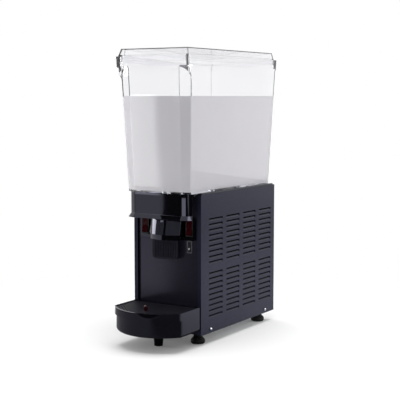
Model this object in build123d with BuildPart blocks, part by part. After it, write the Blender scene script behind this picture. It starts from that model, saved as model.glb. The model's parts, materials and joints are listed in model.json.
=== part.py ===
from build123d import *
import os
from math import cos, radians, sin, sqrt, tan

# Countertop cold drink dispenser: louvred cabinet, clear 20 litre tank, push tap and drip tray.
# Millimetres. Origin in the middle of the footprint on the counter, +Z up, front towards -Y.

os.makedirs("parts", exist_ok=True)

# Driving dimensions of the cabinet
cabinet_width = 190.0
cabinet_depth = 360.0
cabinet_height = 331.5
foot_height = 26.0
sheet = 1.5
flange_width = 10.0
front_recess = 6.0
rear_recess = 4.0
front_panel_thickness = 2.0
chassis_height = 20.0

# Clearances
slip = 0.3
running = 0.05

# Louvres pressed into each side panel, in an upper and a lower block
louvre_length = 65.5
louvre_slot = 1.4
louvre_rise = 7.0
louvre_depth = 3.0
louvre_columns = 4
louvre_rows = 9
louvre_screw_gap = 30.0
louvre_column_pitch = 80.7
louvre_row_pitch = 12.75
louvre_front_margin = 34.0
louvre_top_margin = 57.5
louvre_block_gap = 26.7

# Vents of the rear panel
vent_length = 70.0
vent_slot = 4.0
vent_rows = 9
vent_pitch = 12.75
vent_column_pitch = 84.0
vent_top_margin = 60.0

# Top deck with its nose over the tap
deck_rise = 3.5
deck_thickness = 6.0
nose_reach = 38.5
nose_half_width = 65.7
nose_side_half = 87.0
nose_facet_angle = 21.8
nose_corner_radius = 20.0
nose_wall_gap = 22.5
nose_drop = 50.5
nose_wall = 3.0
lip_height = 9.5
lip_flare = 7.0
lip_setback = 8.0

# Tank: plan at its floor, drafts of its walls, rim and corner scoops
tank_wall = 3.5
tank_floor_thickness = 4.0
tank_height = 315.7
tank_nose_reach = 39.6
tank_crease_half = 65.3
tank_side_half = 87.4
tank_rear_margin = 19.0
tank_front_draft = 3.19
tank_crease_draft = 1.05
tank_side_draft = 2.16
tank_rear_draft = 2.96
tank_facet_angle = 21.8
tank_rear_radius = 3.0
rim_height = 26.0
rim_width = 9.0
rim_top_depth = 22.0
rim_step = 3.3
rim_crease_half = 79.3
rim_overhang = 1.5
rim_corner_step = 2.0
rim_step_run = 0.6
rim_corner_radius = 2.5
rim_inner_radius = 1.5
arch_height = 29.0
nozzle_diameter = 17.0
nozzle_bore = 12.0
nozzle_drop = 64.0
nozzle_gap = 2.0

# Lid
lid_height = 17.5
lid_margin = 4.0
lid_slope = 5.0
lid_rear_margin = 8.0
lid_rear_slope = 1.5
lid_wall = 2.5
lid_skirt_depth = 12.0
lid_skirt_wall = 2.0
lid_clearance = 0.6

# Evaporator and stirrer
evaporator_diameter = 116.0
evaporator_height = 96.0
evaporator_dome = 20.0
drum_wall = 3.0
evaporator_reach = 175.0
gasket_width = 6.0
gasket_height = 5.0
base_ring_width = 12.0
base_ring_thickness = 3.0
shaft_diameter = 8.0
paddle_radius = 46.0
paddle_height = 24.0
paddle_thickness = 3.0
paddle_hub_diameter = 20.0
gear_motor_width = 62.0
gear_motor_height = 54.0
gear_motor_corner = 8.0
gearbox_diameter = 50.0
gearbox_height = 16.0

# Push tap
tap_half_width = 43.0
tap_height = 56.0
tap_overlap = 4.0
tap_collar_height = 12.0
tap_lean = 8.0
tap_reach = 25.0
tap_front_radius = 70.0
tap_collar_setback = 1.5
tap_wall = 2.0
tap_edge_radius = 3.0
valve_depth = 25.0
valve_half_width = 20.0
socket_diameter = 21.0
socket_depth = 12.0
chamber_diameter = 13.0
seat_diameter = 9.0
stem_diameter = 4.0
plunger_head = 5.0
channel_half_width = 6.0
channel_height = 8.0
channel_sill = 7.0
chamber_height = 8.0
seal_setback = 1.0
mouth_half_width = 12.0
mouth_depth = 7.0
pin_diameter = 3.0
hub_diameter = 8.0
pad_thickness = 3.5
pad_drop = 47.0
pad_half_width = 36.0
pad_corner_radius = 10.0
pad_ribs = 13
pad_rib_width = 1.8
pad_rib_depth = 1.2
lever_arm = 20.0
arm_half_width = 5.0
arm_thickness = 3.5

# Switches
plate_half_width = 78.0
plate_height = 56.0
plate_thickness = 5.0
rocker_spacing = 125.0
rocker_top_margin = 5.5
rocker_width = 20.0
rocker_length = 41.0
main_rocker_width = 14.0
main_rocker_shift = 2.5
main_rocker_length = 29.5
main_rocker_drop = 45.5
rocker_tilt = 8.0
rocker_pocket = 9.0
rocker_rise = 2.0
bezel = 1.5
bezel_thickness = 1.5
housing_wall = 1.0
rocker_end_gap = 1.2
rocker_keel_share = 0.6
trunnion_diameter = 2.0
trunnion_length = 0.7
switch_depth = 16.0

# Drip tray
tray_reach = 131.0
tray_gap = 0.5
tray_side_step = 2.0
tray_front_radius = 116.0
tray_corner_radius = 12.0
tray_inner_radius = 1.5
tray_height = 58.0
tray_lift = 36.5
tray_wall = 3.0
tray_rim_height = 17.5
tray_rim_step = 4.0
tray_bottom_radius = 8.0
grille_thickness = 4.0
grille_sink = 2.5
grille_ledge = 3.5
grille_border = 6.0
grille_slot = 4.2
grille_pitch = 9.0
float_reach = 89.0
float_diameter = 9.0
float_rise = 14.0
float_disc = 26.0
float_disc_height = 8.0
tongue_width = 20.0
tongue_thickness = 3.0
tongue_length = 16.0
tongue_spacing = 110.0
tray_foot_reach = 37.0
tray_foot_top = 27.0
tray_foot_bottom = 20.0

# Feet and side screws
foot_diameter = 35.0
foot_sole = 29.4
foot_neck = 20.0
foot_widest_lift = 6.0
foot_shoulder_lift = 12.0
foot_neck_lift = 17.7
foot_inset = 29.0
foot_front_margin = 32.0
foot_rear_margin = 35.0
stud_diameter = 6.0
stud_length = 8.0
screw_head = 7.0
screw_head_height = 2.0
screw_shank = 4.0
screw_length = 8.0
screw_lift = 9.0
screw_front_margin = 44.0
screw_rear_margin = 47.0

# Cooling machinery on the chassis
compressor_diameter = 122.0
compressor_height = 140.0
compressor_seam = 4.0
compressor_shoulder = 30.5
compressor_rear_margin = 92.0
compressor_plate = 2.5
grommet_diameter = 20.0
grommet_height = 12.0
grommet_spacing_x = 112.0
grommet_spacing_y = 84.0
condenser_reach = 38.0
condenser_depth = 40.0
condenser_half_width = 74.0
condenser_height = 150.0
condenser_core = 12.0
fin_pitch = 8.0
fin_gap = 6.8
tube_diameter = 8.0
tube_pitch = 24.0
shroud_thickness = 1.5
fan_radius = 62.0
fan_clearance = 4.0
fan_depth = 16.0
fan_hub_diameter = 34.0
fan_blades = 5
blade_thickness = 1.6
blade_root_chord = 16.0
blade_root_pitch = 42.0
blade_root_sink = 2.0
blade_tip_chord = 40.0
blade_tip_pitch = 20.0
fan_motor_diameter = 56.0
fan_motor_length = 34.0
fan_motor_chamfer = 4.5
fan_shaft_diameter = 6.0
bracket_width = 18.0
drier_diameter = 24.0
drier_length = 90.0
drier_neck = 8.0
drier_cone = 11.0
thermostat_width = 44.0
thermostat_height = 32.0
thermostat_depth = 26.0
thermostat_corner = 3.0

# Power inlet in the rear panel
inlet_width = 48.0
inlet_height = 27.0
inlet_corner = 3.0
inlet_flange = 2.0
inlet_lift = 58.0
inlet_body_width = 32.0
inlet_body_height = 23.0
inlet_body_depth = 20.0
inlet_wall = 2.0
inlet_socket_depth = 14.0
inlet_pin_width = 2.0
inlet_pin_height = 5.0
inlet_pin_length = 12.0
inlet_pin_spread = 8.0
inlet_pin_offset = 3.0

# Places worked out from the driving dimensions
front_y = (tray_reach - cabinet_depth) / 2
rear_y = front_y + cabinet_depth
half_width = cabinet_width / 2
panel_inside = half_width - sheet
cabinet_top = foot_height + cabinet_height
panel_face_y = front_y + front_recess
panel_back_y = panel_face_y + front_panel_thickness
rear_face_y = rear_y - rear_recess
rear_inside_y = rear_face_y - sheet
deck_top = cabinet_top + deck_rise
deck_under = deck_top - deck_thickness
nose_front_y = front_y - nose_reach
nose_bottom = deck_top - nose_drop
lip_bottom = nose_bottom - lip_height
tank_bottom = deck_top + slip
tank_top = tank_bottom + tank_height
rim_bottom = tank_top - rim_height
lid_bottom = tank_top + slip
chassis_floor = foot_height + sheet
evaporator_y = front_y + evaporator_reach
plate_face_y = panel_face_y - plate_thickness
plate_top = lip_bottom + tap_overlap
valve_y = plate_face_y + valve_depth / 2
pivot_y = valve_y - lever_arm
tap_top = lip_bottom + tap_overlap
tap_bottom = tap_top - tap_height
pivot_z = tap_bottom + tap_collar_height / 2
tray_half_width = half_width - tray_side_step
tray_top = tray_lift + tray_height
tray_front_y = front_y - tray_reach
tray_rear_y = front_y - tray_gap


def polygon(points):
    """Sketch with straight sides between the given corners."""
    with BuildSketch() as outline:
        with BuildLine():
            Polyline(*points, close=True)
        make_face()
    return outline.sketch


def upright(x, y):
    """Plane for a turned piece's profile: it faces the front and stands on the counter at x, y."""
    return Plane(origin=(x, y, 0), x_dir=(1, 0, 0), z_dir=(0, -1, 0))


def mirrored(points):
    """Complete an outline from its right half, given from front to rear."""
    return points + [(-x, y) for x, y in reversed(points)]


# Side panels: folded sheet with a return flange and lip at each end, and louvres pressed inwards
louvre_first_y = front_y + louvre_front_margin + louvre_length / 2
louvre_upper_top = cabinet_top - louvre_top_margin
louvre_lower_top = louvre_upper_top - (louvre_rows - 1) * louvre_row_pitch - louvre_block_gap
screw_z = foot_height + screw_lift
louvre_lower_rows = int((louvre_lower_top - screw_z - louvre_screw_gap) / louvre_row_pitch) + 1
louvre_places = [
    (louvre_first_y + column * louvre_column_pitch, block_top - row * louvre_row_pitch)
    for block_top, rows in ((louvre_upper_top, louvre_rows), (louvre_lower_top, louvre_lower_rows))
    for row in range(rows)
    for column in range(louvre_columns)
]
screw_ys = [front_y + screw_front_margin, rear_y - screw_rear_margin]

with BuildPart() as louvre:
    with BuildSketch(Plane.XZ):
        add(polygon([(0, -louvre_rise), (-louvre_depth, -louvre_slot),
                     (-louvre_depth - sheet, -louvre_slot), (-sheet, -louvre_rise)]))
    extrude(amount=louvre_length / 2, both=True)
    for side in (-1, 1):
        with BuildSketch(Plane.XZ.offset(side * louvre_length / 2)):
            add(polygon([(0, 0), (0, -louvre_rise), (-sheet, -louvre_rise),
                         (-louvre_depth - sheet, -louvre_slot), (-louvre_depth - sheet, 0)]))
        extrude(amount=-side * sheet)

with BuildPart() as right_side_panel:
    with BuildSketch(Plane.XY.offset(foot_height)):
        with Locations((half_width - sheet / 2, (front_y + rear_y) / 2)):
            Rectangle(sheet, cabinet_depth)
        for edge_y, recess in ((front_y, front_recess), (rear_y, -rear_recess)):
            with Locations((half_width - flange_width / 2, edge_y + recess / abs(recess) * sheet / 2)):
                Rectangle(flange_width, sheet)
            with Locations((half_width - flange_width + sheet / 2, edge_y + recess / 2)):
                Rectangle(sheet, abs(recess))
    extrude(amount=cabinet_height)
    with BuildSketch(Plane.YZ.offset(panel_inside)):
        with Locations(*[(y, z - louvre_rise / 2) for y, z in louvre_places]):
            Rectangle(louvre_length, louvre_rise)
        with Locations(*[(y, screw_z) for y in screw_ys]):
            Circle(screw_shank / 2 + running)
    extrude(amount=sheet, mode=Mode.SUBTRACT)
    with Locations(*[(half_width, y, z) for y, z in louvre_places]):
        add(louvre.part)
right_side_panel.part.label = "right_side_panel"
export_step(right_side_panel.part, "parts/right_side_panel.step")

with BuildPart() as left_side_panel:
    add(mirror(right_side_panel.part, about=Plane.YZ, mode=Mode.PRIVATE))
left_side_panel.part.label = "left_side_panel"
export_step(left_side_panel.part, "parts/left_side_panel.step")

# Chassis: folded pan between the panels, with holes for the foot studs and side screws
chassis_front_y = panel_back_y + slip
chassis_rear_y = rear_inside_y - slip
chassis_half = panel_inside - slip
chassis_mid_y = (chassis_front_y + chassis_rear_y) / 2
chassis_length = chassis_rear_y - chassis_front_y
foot_places = [
    (sx * (half_width - foot_inset), y)
    for sx in (-1, 1)
    for y in (front_y + foot_front_margin, rear_y - foot_rear_margin)
]

with BuildPart() as chassis:
    with BuildSketch(Plane.XY.offset(foot_height)):
        with Locations((0, chassis_mid_y)):
            Rectangle(2 * chassis_half, chassis_length)
    extrude(amount=chassis_height)
    with BuildSketch(Plane.XY.offset(chassis_floor)):
        with Locations((0, chassis_mid_y)):
            Rectangle(2 * (chassis_half - sheet), chassis_length - 2 * sheet)
    extrude(amount=chassis_height, mode=Mode.SUBTRACT)
    with BuildSketch(Plane.XY.offset(foot_height)):
        with Locations(*foot_places):
            Circle(stud_diameter / 2 + running)
    extrude(amount=sheet, mode=Mode.SUBTRACT)
    with BuildSketch(Plane.YZ):
        with Locations(*[(y, screw_z) for y in screw_ys]):
            Circle(screw_shank / 2 + running)
    extrude(amount=half_width, both=True, mode=Mode.SUBTRACT)
chassis.part.label = "chassis"
export_step(chassis.part, "parts/chassis.step")

with BuildPart() as side_screws:
    for sx in (-1, 1):
        with BuildSketch(Plane.YZ.offset(sx * half_width)):
            with Locations(*[(y, screw_z) for y in screw_ys]):
                Circle(screw_head / 2)
        extrude(amount=sx * screw_head_height)
        with BuildSketch(Plane.YZ.offset(sx * half_width)):
            with Locations(*[(y, screw_z) for y in screw_ys]):
                Circle(screw_shank / 2)
        extrude(amount=-sx * screw_length)
side_screws.part.label = "side_screws"
export_step(side_screws.part, "parts/side_screws.step")

# Feet: turned rubber knobs on a stud
foot_names = ["foot_left_front", "foot_left_rear", "foot_right_front", "foot_right_rear"]
for foot_name, (foot_x, foot_y) in zip(foot_names, foot_places):
    with BuildPart() as foot:
        with BuildSketch(upright(foot_x, foot_y)):
            with BuildLine():
                Polyline((0, 0), (foot_sole / 2, 0))
                ThreePointArc((foot_sole / 2, 0), (foot_diameter / 2, foot_widest_lift),
                              (foot_sole / 2, foot_shoulder_lift))
                Polyline((foot_sole / 2, foot_shoulder_lift), (foot_neck / 2, foot_neck_lift),
                         (foot_neck / 2, foot_height), (stud_diameter / 2, foot_height),
                         (stud_diameter / 2, foot_height + stud_length), (0, foot_height + stud_length),
                         (0, 0))
            make_face()
        revolve(axis=Axis((foot_x, foot_y, 0), (0, 0, 1)))
    foot.part.label = foot_name
    export_step(foot.part, f"parts/{foot_name}.step")

# Switch places, shared by the panel, the plate and the switches themselves
rocker_z = plate_top - rocker_top_margin - rocker_length / 2
main_rocker_z = rocker_z - main_rocker_drop
switches = [
    ("left", -rocker_spacing / 2, rocker_z, rocker_width, rocker_length, plate_face_y),
    ("right", rocker_spacing / 2, rocker_z, rocker_width, rocker_length, plate_face_y),
    ("main", rocker_spacing / 2 - main_rocker_shift, main_rocker_z,
     main_rocker_width, main_rocker_length, panel_face_y),
]
tongue_z = tray_lift + tray_height / 2
tongue_places = [(-tongue_spacing / 2, tongue_z), (tongue_spacing / 2, tongue_z)]
arm_bottom = pivot_z - arm_thickness / 2
collar_top = tap_bottom + tap_collar_height


def switch_openings(chosen):
    """Sketch of the holes for the switch bodies, with the cabinet's X and Z as its x and y."""
    with BuildSketch() as openings:
        for _, x, z, width, length, _ in chosen:
            with Locations((x, z)):
                Rectangle(width - 2 * bezel + 2 * slip, length - 2 * bezel + 2 * slip)
    return openings.sketch


def tap_opening(top):
    """Sketch of the hole for the valve block, open up to a height, and the slot for the lever's arm."""
    with BuildSketch() as opening:
        with Locations((0, (collar_top - slip + top) / 2)):
            Rectangle(2 * (valve_half_width + slip), top - collar_top + slip)
        with Locations((0, (arm_bottom + collar_top) / 2 - slip)):
            Rectangle(2 * (arm_half_width + slip), collar_top - arm_bottom)
    return opening.sketch


# Front panel
with BuildPart() as front_panel:
    with BuildSketch(Plane.XZ.offset(-panel_face_y)):
        with Locations((0, (foot_height + deck_under) / 2)):
            Rectangle(2 * (panel_inside - slip), deck_under - foot_height)
        add(tap_opening(tap_top + slip), mode=Mode.SUBTRACT)
        with Locations((0, (tap_top + deck_under) / 2)):
            Rectangle(nozzle_diameter + 2 * nozzle_gap, deck_under - tap_top, mode=Mode.SUBTRACT)
        add(switch_openings(switches), mode=Mode.SUBTRACT)
        with Locations(*tongue_places):
            Rectangle(tongue_width + 2 * slip, tongue_thickness + 2 * slip, mode=Mode.SUBTRACT)
    extrude(amount=-front_panel_thickness)
front_panel.part.label = "front_panel"
export_step(front_panel.part, "parts/front_panel.step")

# Rear panel with vents, the thermostat spindle's hole and the power inlet's cut-out
vent_top = cabinet_top - vent_top_margin
vent_mid = vent_top - (vent_rows - 1) * vent_pitch / 2
inlet_z = foot_height + inlet_lift
with BuildPart() as rear_panel:
    with BuildSketch(Plane.XZ.offset(-rear_inside_y)):
        with Locations((0, (foot_height + deck_under) / 2)):
            Rectangle(2 * (panel_inside - slip), deck_under - foot_height)
        with Locations((0, vent_mid)):
            with GridLocations(vent_column_pitch, vent_pitch, 2, vent_rows):
                SlotOverall(vent_length, vent_slot, mode=Mode.SUBTRACT)
        with Locations((0, inlet_z)):
            Rectangle(inlet_body_width + 2 * slip, inlet_body_height + 2 * slip, mode=Mode.SUBTRACT)
    extrude(amount=-sheet)
rear_panel.part.label = "rear_panel"
export_step(rear_panel.part, "parts/rear_panel.step")


# Top deck: plate between the panels, nose with a facet each side, skirt and flared lip
def nose_outline(grow, rear):
    """Outline of the nose, offset outwards by grow and closed at the given rear line."""
    turn = radians(nose_facet_angle)
    crease = nose_half_width + grow * tan(turn / 2)
    side = nose_side_half + grow
    front = nose_front_y - grow
    facet_rear = front + (side - crease) * tan(turn)
    with BuildSketch() as outline:
        add(polygon(mirrored([(crease, front), (side, facet_rear), (side, panel_face_y)])))
        fillet(outline.vertices().group_by(Axis.Y)[1], nose_corner_radius + grow)
        with Locations((0, front)):
            Rectangle(2 * cabinet_width, 2 * (rear - front), mode=Mode.INTERSECT)
    return outline.sketch


nose_rear_y = front_y - tray_gap
nose_wall_rear_y = front_y - nose_wall_gap
lip_rear_y = nose_wall_rear_y - lip_setback
deck_rear_y = rear_inside_y - slip
deck_half = panel_inside - slip
lip_half_inside = half_width - flange_width - slip
with BuildPart() as top_deck:
    with BuildSketch(Plane.XY.offset(deck_under)):
        add(nose_outline(0, nose_rear_y))
        with Locations((0, (nose_rear_y + panel_back_y) / 2)):
            Rectangle(2 * lip_half_inside, panel_back_y - nose_rear_y)
        with Locations((0, (panel_face_y + slip + deck_rear_y) / 2)):
            Rectangle(2 * deck_half, deck_rear_y - panel_face_y - slip)
    extrude(amount=deck_thickness)
    with BuildSketch(Plane.XY.offset(nose_bottom)):
        add(nose_outline(0, nose_wall_rear_y))
    extrude(amount=deck_under - nose_bottom)
    with BuildSketch(Plane.XY.offset(nose_bottom)):
        add(nose_outline(-nose_wall, nose_wall_rear_y))
    extrude(amount=deck_under - nose_bottom, mode=Mode.SUBTRACT)
    with BuildSketch(Plane.XY.offset(lip_bottom)):
        add(nose_outline(lip_flare, lip_rear_y))
    with BuildSketch(Plane.XY.offset(nose_bottom)):
        add(nose_outline(0, nose_wall_rear_y))
    loft(ruled=True)
    with BuildSketch(Plane.XY.offset(lip_bottom)):
        add(nose_outline(lip_flare - nose_wall, lip_rear_y))
    with BuildSketch(Plane.XY.offset(nose_bottom)):
        add(nose_outline(-nose_wall, nose_wall_rear_y))
    loft(ruled=True, mode=Mode.SUBTRACT)
    with BuildSketch(Plane.XY.offset(deck_under)):
        with Locations((0, valve_y)):
            Circle(nozzle_diameter / 2 + nozzle_gap)
        with Locations((0, evaporator_y)):
            Circle(gearbox_diameter / 2 + slip)
    extrude(amount=deck_thickness, mode=Mode.SUBTRACT)
    with BuildSketch(Plane.XY.offset(deck_top - base_ring_thickness)):
        with Locations((0, evaporator_y)):
            Circle(evaporator_diameter / 2 + base_ring_width + running)
    extrude(amount=base_ring_thickness, mode=Mode.SUBTRACT)
top_deck.part.label = "top_deck"
export_step(top_deck.part, "parts/top_deck.step")


# Tank: drafted walls with a facet at each front corner, rim, and a scoop that ends in an arch
def tank_sizes(level, inset):
    """Half widths and depths of the tank's plan at a height, moved inwards by inset."""
    rise = level - tank_bottom
    turn = radians(tank_facet_angle)
    outer_crease = tank_crease_half + rise * tan(radians(tank_crease_draft))
    outer_front = front_y - tank_nose_reach - rise * tan(radians(tank_front_draft))
    side = tank_side_half + rise * tan(radians(tank_side_draft)) - inset
    facet_rear = outer_front + (side - outer_crease) * tan(turn) + inset / cos(turn)
    rear = rear_y - tank_rear_margin + rise * tan(radians(tank_rear_draft)) - inset
    return outer_crease - inset * tan(turn / 2), outer_front + inset, side, facet_rear, rear


def tank_plan(level, inset):
    """Sketch of the tank's plan at a height, moved inwards by inset."""
    crease, front, side, facet_rear, rear = tank_sizes(level, inset)
    return polygon(mirrored([(crease, front), (side, facet_rear), (side, rear)]))


def rim_plan(level, inset, rear_inset, corner_step):
    """Sketch of the rim's plan moved inwards, with front corners that step forward over the scoops."""
    _, front, tank_side, _, rear = tank_sizes(level, 0)
    rim_front = front - rim_step + inset
    side = tank_side + rim_overhang - inset
    points = [(side, rim_front - corner_step), (side, rear - rear_inset)]
    if corner_step:
        points = [(rim_crease_half, rim_front), (rim_crease_half + rim_step_run, rim_front - corner_step)] + points
    with BuildSketch() as outline:
        add(polygon(mirrored(points)))
        corners = outline.vertices().filter_by(lambda v: abs(v.X) > side - slip)
        fillet(corners, max(rim_corner_radius - inset, rim_inner_radius))
    return outline.sketch


arch_base = rim_bottom - arch_height
tank_inner_bottom = tank_bottom + tank_floor_thickness
rim_ledge = tank_top - rim_top_depth
arch_crease, arch_front, arch_side, arch_facet_rear, _ = tank_sizes(arch_base, 0)
facet_turn = radians(tank_facet_angle)
facet_length = (arch_side - arch_crease) / cos(facet_turn)

with BuildPart() as corner_block:
    for level in (arch_base, rim_bottom):
        crease, front, side, facet_rear, _ = tank_sizes(level, 0)
        with BuildSketch(Plane.XY.offset(level)) as corner_plan:
            add(polygon([(crease, front), (side, facet_rear), (side, front)]))
            fillet(corner_plan.vertices().sort_by(lambda v: v.X - v.Y)[-1], rim_corner_radius)
    loft(ruled=True)
    arch_plane = Plane(origin=(arch_crease, arch_front, arch_base),
                       x_dir=(cos(facet_turn), sin(facet_turn), 0),
                       z_dir=(sin(facet_turn), -cos(facet_turn), 0))
    with BuildSketch(arch_plane):
        Ellipse(facet_length, arch_height)
    extrude(amount=facet_length, both=True, mode=Mode.SUBTRACT)

with BuildPart() as tank:
    for level in (tank_bottom, rim_bottom):
        with BuildSketch(Plane.XY.offset(level)):
            add(tank_plan(level, 0))
    loft(ruled=True)
    upright_edges = tank.edges().filter_by(lambda e: abs(e.tangent_at(0.5).Z) > cos(radians(45)))
    fillet(upright_edges.filter_by(lambda e: e.center().Y > evaporator_y), tank_rear_radius)
    add(corner_block.part)
    add(mirror(corner_block.part, about=Plane.YZ, mode=Mode.PRIVATE))
    for level in (rim_bottom, tank_top):
        with BuildSketch(Plane.XY.offset(level)):
            add(rim_plan(level, 0, 0, rim_corner_step))
    loft(ruled=True)
    for level in (tank_inner_bottom, rim_ledge):
        with BuildSketch(Plane.XY.offset(level)):
            add(tank_plan(level, tank_wall))
    loft(ruled=True, mode=Mode.SUBTRACT)
    for level in (rim_ledge, tank_top):
        with BuildSketch(Plane.XY.offset(level)):
            add(rim_plan(tank_top, rim_width, rim_width, 0))
    loft(ruled=True, mode=Mode.SUBTRACT)
    with BuildSketch(Plane.XY.offset(tank_bottom)):
        with Locations((0, evaporator_y)):
            Circle(evaporator_diameter / 2 + gasket_width + slip)
    extrude(amount=tank_floor_thickness, mode=Mode.SUBTRACT)
    with BuildSketch(Plane.XY.offset(tank_bottom)):
        with Locations((0, valve_y)):
            Circle(nozzle_diameter / 2)
    extrude(amount=-nozzle_drop)
    with BuildSketch(Plane.XY.offset(tank_bottom - nozzle_drop)):
        with Locations((0, valve_y)):
            Circle(nozzle_bore / 2)
    extrude(amount=nozzle_drop + tank_floor_thickness, mode=Mode.SUBTRACT)
tank.part.label = "tank"
export_step(tank.part, "parts/tank.step")

# Lid: sloped tray-shaped cover on the rim with a skirt inside it
lid_inner_top = lid_bottom + lid_height - lid_wall
with BuildPart() as lid:
    for level, share in ((lid_bottom, 0), (lid_bottom + lid_height, 1)):
        with BuildSketch(Plane.XY.offset(level)):
            add(rim_plan(tank_top, lid_margin + share * lid_slope,
                         lid_rear_margin + share * lid_rear_slope, rim_corner_step))
    loft(ruled=True)
    for level, share in ((lid_bottom, 0), (lid_inner_top, 1)):
        with BuildSketch(Plane.XY.offset(level)):
            add(rim_plan(tank_top, lid_margin + lid_wall + share * lid_slope,
                         lid_rear_margin + lid_wall + share * lid_rear_slope, 0))
    loft(ruled=True, mode=Mode.SUBTRACT)
    skirt_inset = rim_width + lid_clearance
    skirt_inner = skirt_inset + lid_skirt_wall
    with BuildSketch(Plane.XY.offset(lid_bottom)):
        add(rim_plan(tank_top, lid_margin, lid_rear_margin, rim_corner_step))
        add(rim_plan(tank_top, skirt_inner, skirt_inner, 0), mode=Mode.SUBTRACT)
    extrude(amount=lid_wall)
    with BuildSketch(Plane.XY.offset(lid_bottom)):
        add(rim_plan(tank_top, skirt_inset, skirt_inset, 0))
        add(rim_plan(tank_top, skirt_inner, skirt_inner, 0), mode=Mode.SUBTRACT)
    extrude(amount=-lid_skirt_depth)
lid.part.label = "lid"
export_step(lid.part, "parts/lid.step")

# Evaporator: domed stainless drum on a base ring let into the deck
evaporator_base = deck_top - base_ring_thickness
evaporator_top = deck_top + evaporator_height + evaporator_dome
shaft_hole = shaft_diameter / 2 + running
dome_radius = ((evaporator_diameter / 2) ** 2 + evaporator_dome**2) / (2 * evaporator_dome)
dome_mid = evaporator_diameter / 4
dome_mid_z = evaporator_top - dome_radius + sqrt(dome_radius**2 - dome_mid**2)
with BuildPart() as evaporator:
    with BuildSketch(upright(0, evaporator_y)):
        with BuildLine():
            Polyline((shaft_hole, evaporator_base),
                     (evaporator_diameter / 2 + base_ring_width, evaporator_base),
                     (evaporator_diameter / 2 + base_ring_width, deck_top),
                     (evaporator_diameter / 2, deck_top),
                     (evaporator_diameter / 2, deck_top + evaporator_height))
            ThreePointArc((evaporator_diameter / 2, deck_top + evaporator_height),
                          (dome_mid, dome_mid_z), (shaft_hole, evaporator_top))
            Line((shaft_hole, evaporator_top), (shaft_hole, evaporator_base))
        make_face()
    revolve(axis=Axis((0, evaporator_y, 0), (0, 0, 1)))
    with BuildSketch(Plane.XY.offset(evaporator_base)):
        with Locations((0, evaporator_y)):
            Circle(evaporator_diameter / 2 - drum_wall)
            Circle(shaft_hole + drum_wall, mode=Mode.SUBTRACT)
    extrude(amount=evaporator_height, mode=Mode.SUBTRACT)
evaporator.part.label = "evaporator"
export_step(evaporator.part, "parts/evaporator.step")

# Gasket between the drum and the tank's floor
with BuildPart() as tank_gasket:
    with BuildSketch(Plane.XY.offset(deck_top)):
        with Locations((0, evaporator_y)):
            Circle(evaporator_diameter / 2 + gasket_width)
            Circle(evaporator_diameter / 2 + running, mode=Mode.SUBTRACT)
    extrude(amount=gasket_height)
tank_gasket.part.label = "tank_gasket"
export_step(tank_gasket.part, "parts/tank_gasket.step")

# Gear motor under the deck: gearbox boss up through the deck's hole, motor can below
motor_top = deck_under
with BuildPart() as gear_motor:
    with BuildSketch(Plane.XY.offset(motor_top - gear_motor_height)):
        with Locations((0, evaporator_y)):
            RectangleRounded(gear_motor_width, gear_motor_width, gear_motor_corner)
    extrude(amount=gear_motor_height)
    with BuildSketch(Plane.XY.offset(motor_top)):
        with Locations((0, evaporator_y)):
            Circle(gearbox_diameter / 2)
    extrude(amount=deck_thickness - base_ring_thickness)
    with BuildSketch(Plane.XY.offset(evaporator_base)):
        with Locations((0, evaporator_y)):
            Circle(shaft_hole)
    extrude(amount=-gearbox_height, mode=Mode.SUBTRACT)
gear_motor.part.label = "gear_motor"
export_step(gear_motor.part, "parts/gear_motor.step")

# Stirrer: shaft from the gear motor through the drum, and the paddle on its end
shaft_bottom = evaporator_base - gearbox_height + slip
hub_bottom = evaporator_top + slip
hub_top = hub_bottom + paddle_height / 2
with BuildPart() as mixer_shaft:
    with BuildSketch(Plane.XY.offset(shaft_bottom)):
        with Locations((0, evaporator_y)):
            Circle(shaft_diameter / 2)
    extrude(amount=hub_bottom - shaft_bottom)
mixer_shaft.part.label = "mixer_shaft"
export_step(mixer_shaft.part, "parts/mixer_shaft.step")

with BuildPart() as mixing_paddle:
    with BuildSketch(Plane.XY.offset(hub_bottom)):
        with Locations((0, evaporator_y)):
            Circle(paddle_hub_diameter / 2)
    extrude(amount=hub_top - hub_bottom)
    with BuildSketch(Plane.XZ.offset(-evaporator_y)):
        add(polygon(mirrored([(paddle_radius / 2, hub_bottom), (paddle_radius, hub_bottom + paddle_height / 3),
                              (paddle_radius, hub_bottom + paddle_height), (paddle_radius / 2, hub_top)])))
    extrude(amount=paddle_thickness / 2, both=True)
mixing_paddle.part.label = "mixing_paddle"
export_step(mixing_paddle.part, "parts/mixing_paddle.step")

# Tap body: bowed, leaning block with a collar in front of the plate and a valve block through it
def bowed_plan(front, half):
    """Sketch of a plan with a bowed front, straight sides and a flat back on the switch plate."""
    side_front = front + tap_front_radius - sqrt(tap_front_radius**2 - half**2)
    with BuildSketch() as plan:
        with BuildLine():
            Polyline((half, side_front), (half, plate_face_y), (-half, plate_face_y), (-half, side_front))
            ThreePointArc((-half, side_front), (0, front), (half, side_front))
        make_face()
        fillet(plan.vertices().group_by(Axis.Y)[0], tap_edge_radius)
    return plan.sketch


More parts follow.
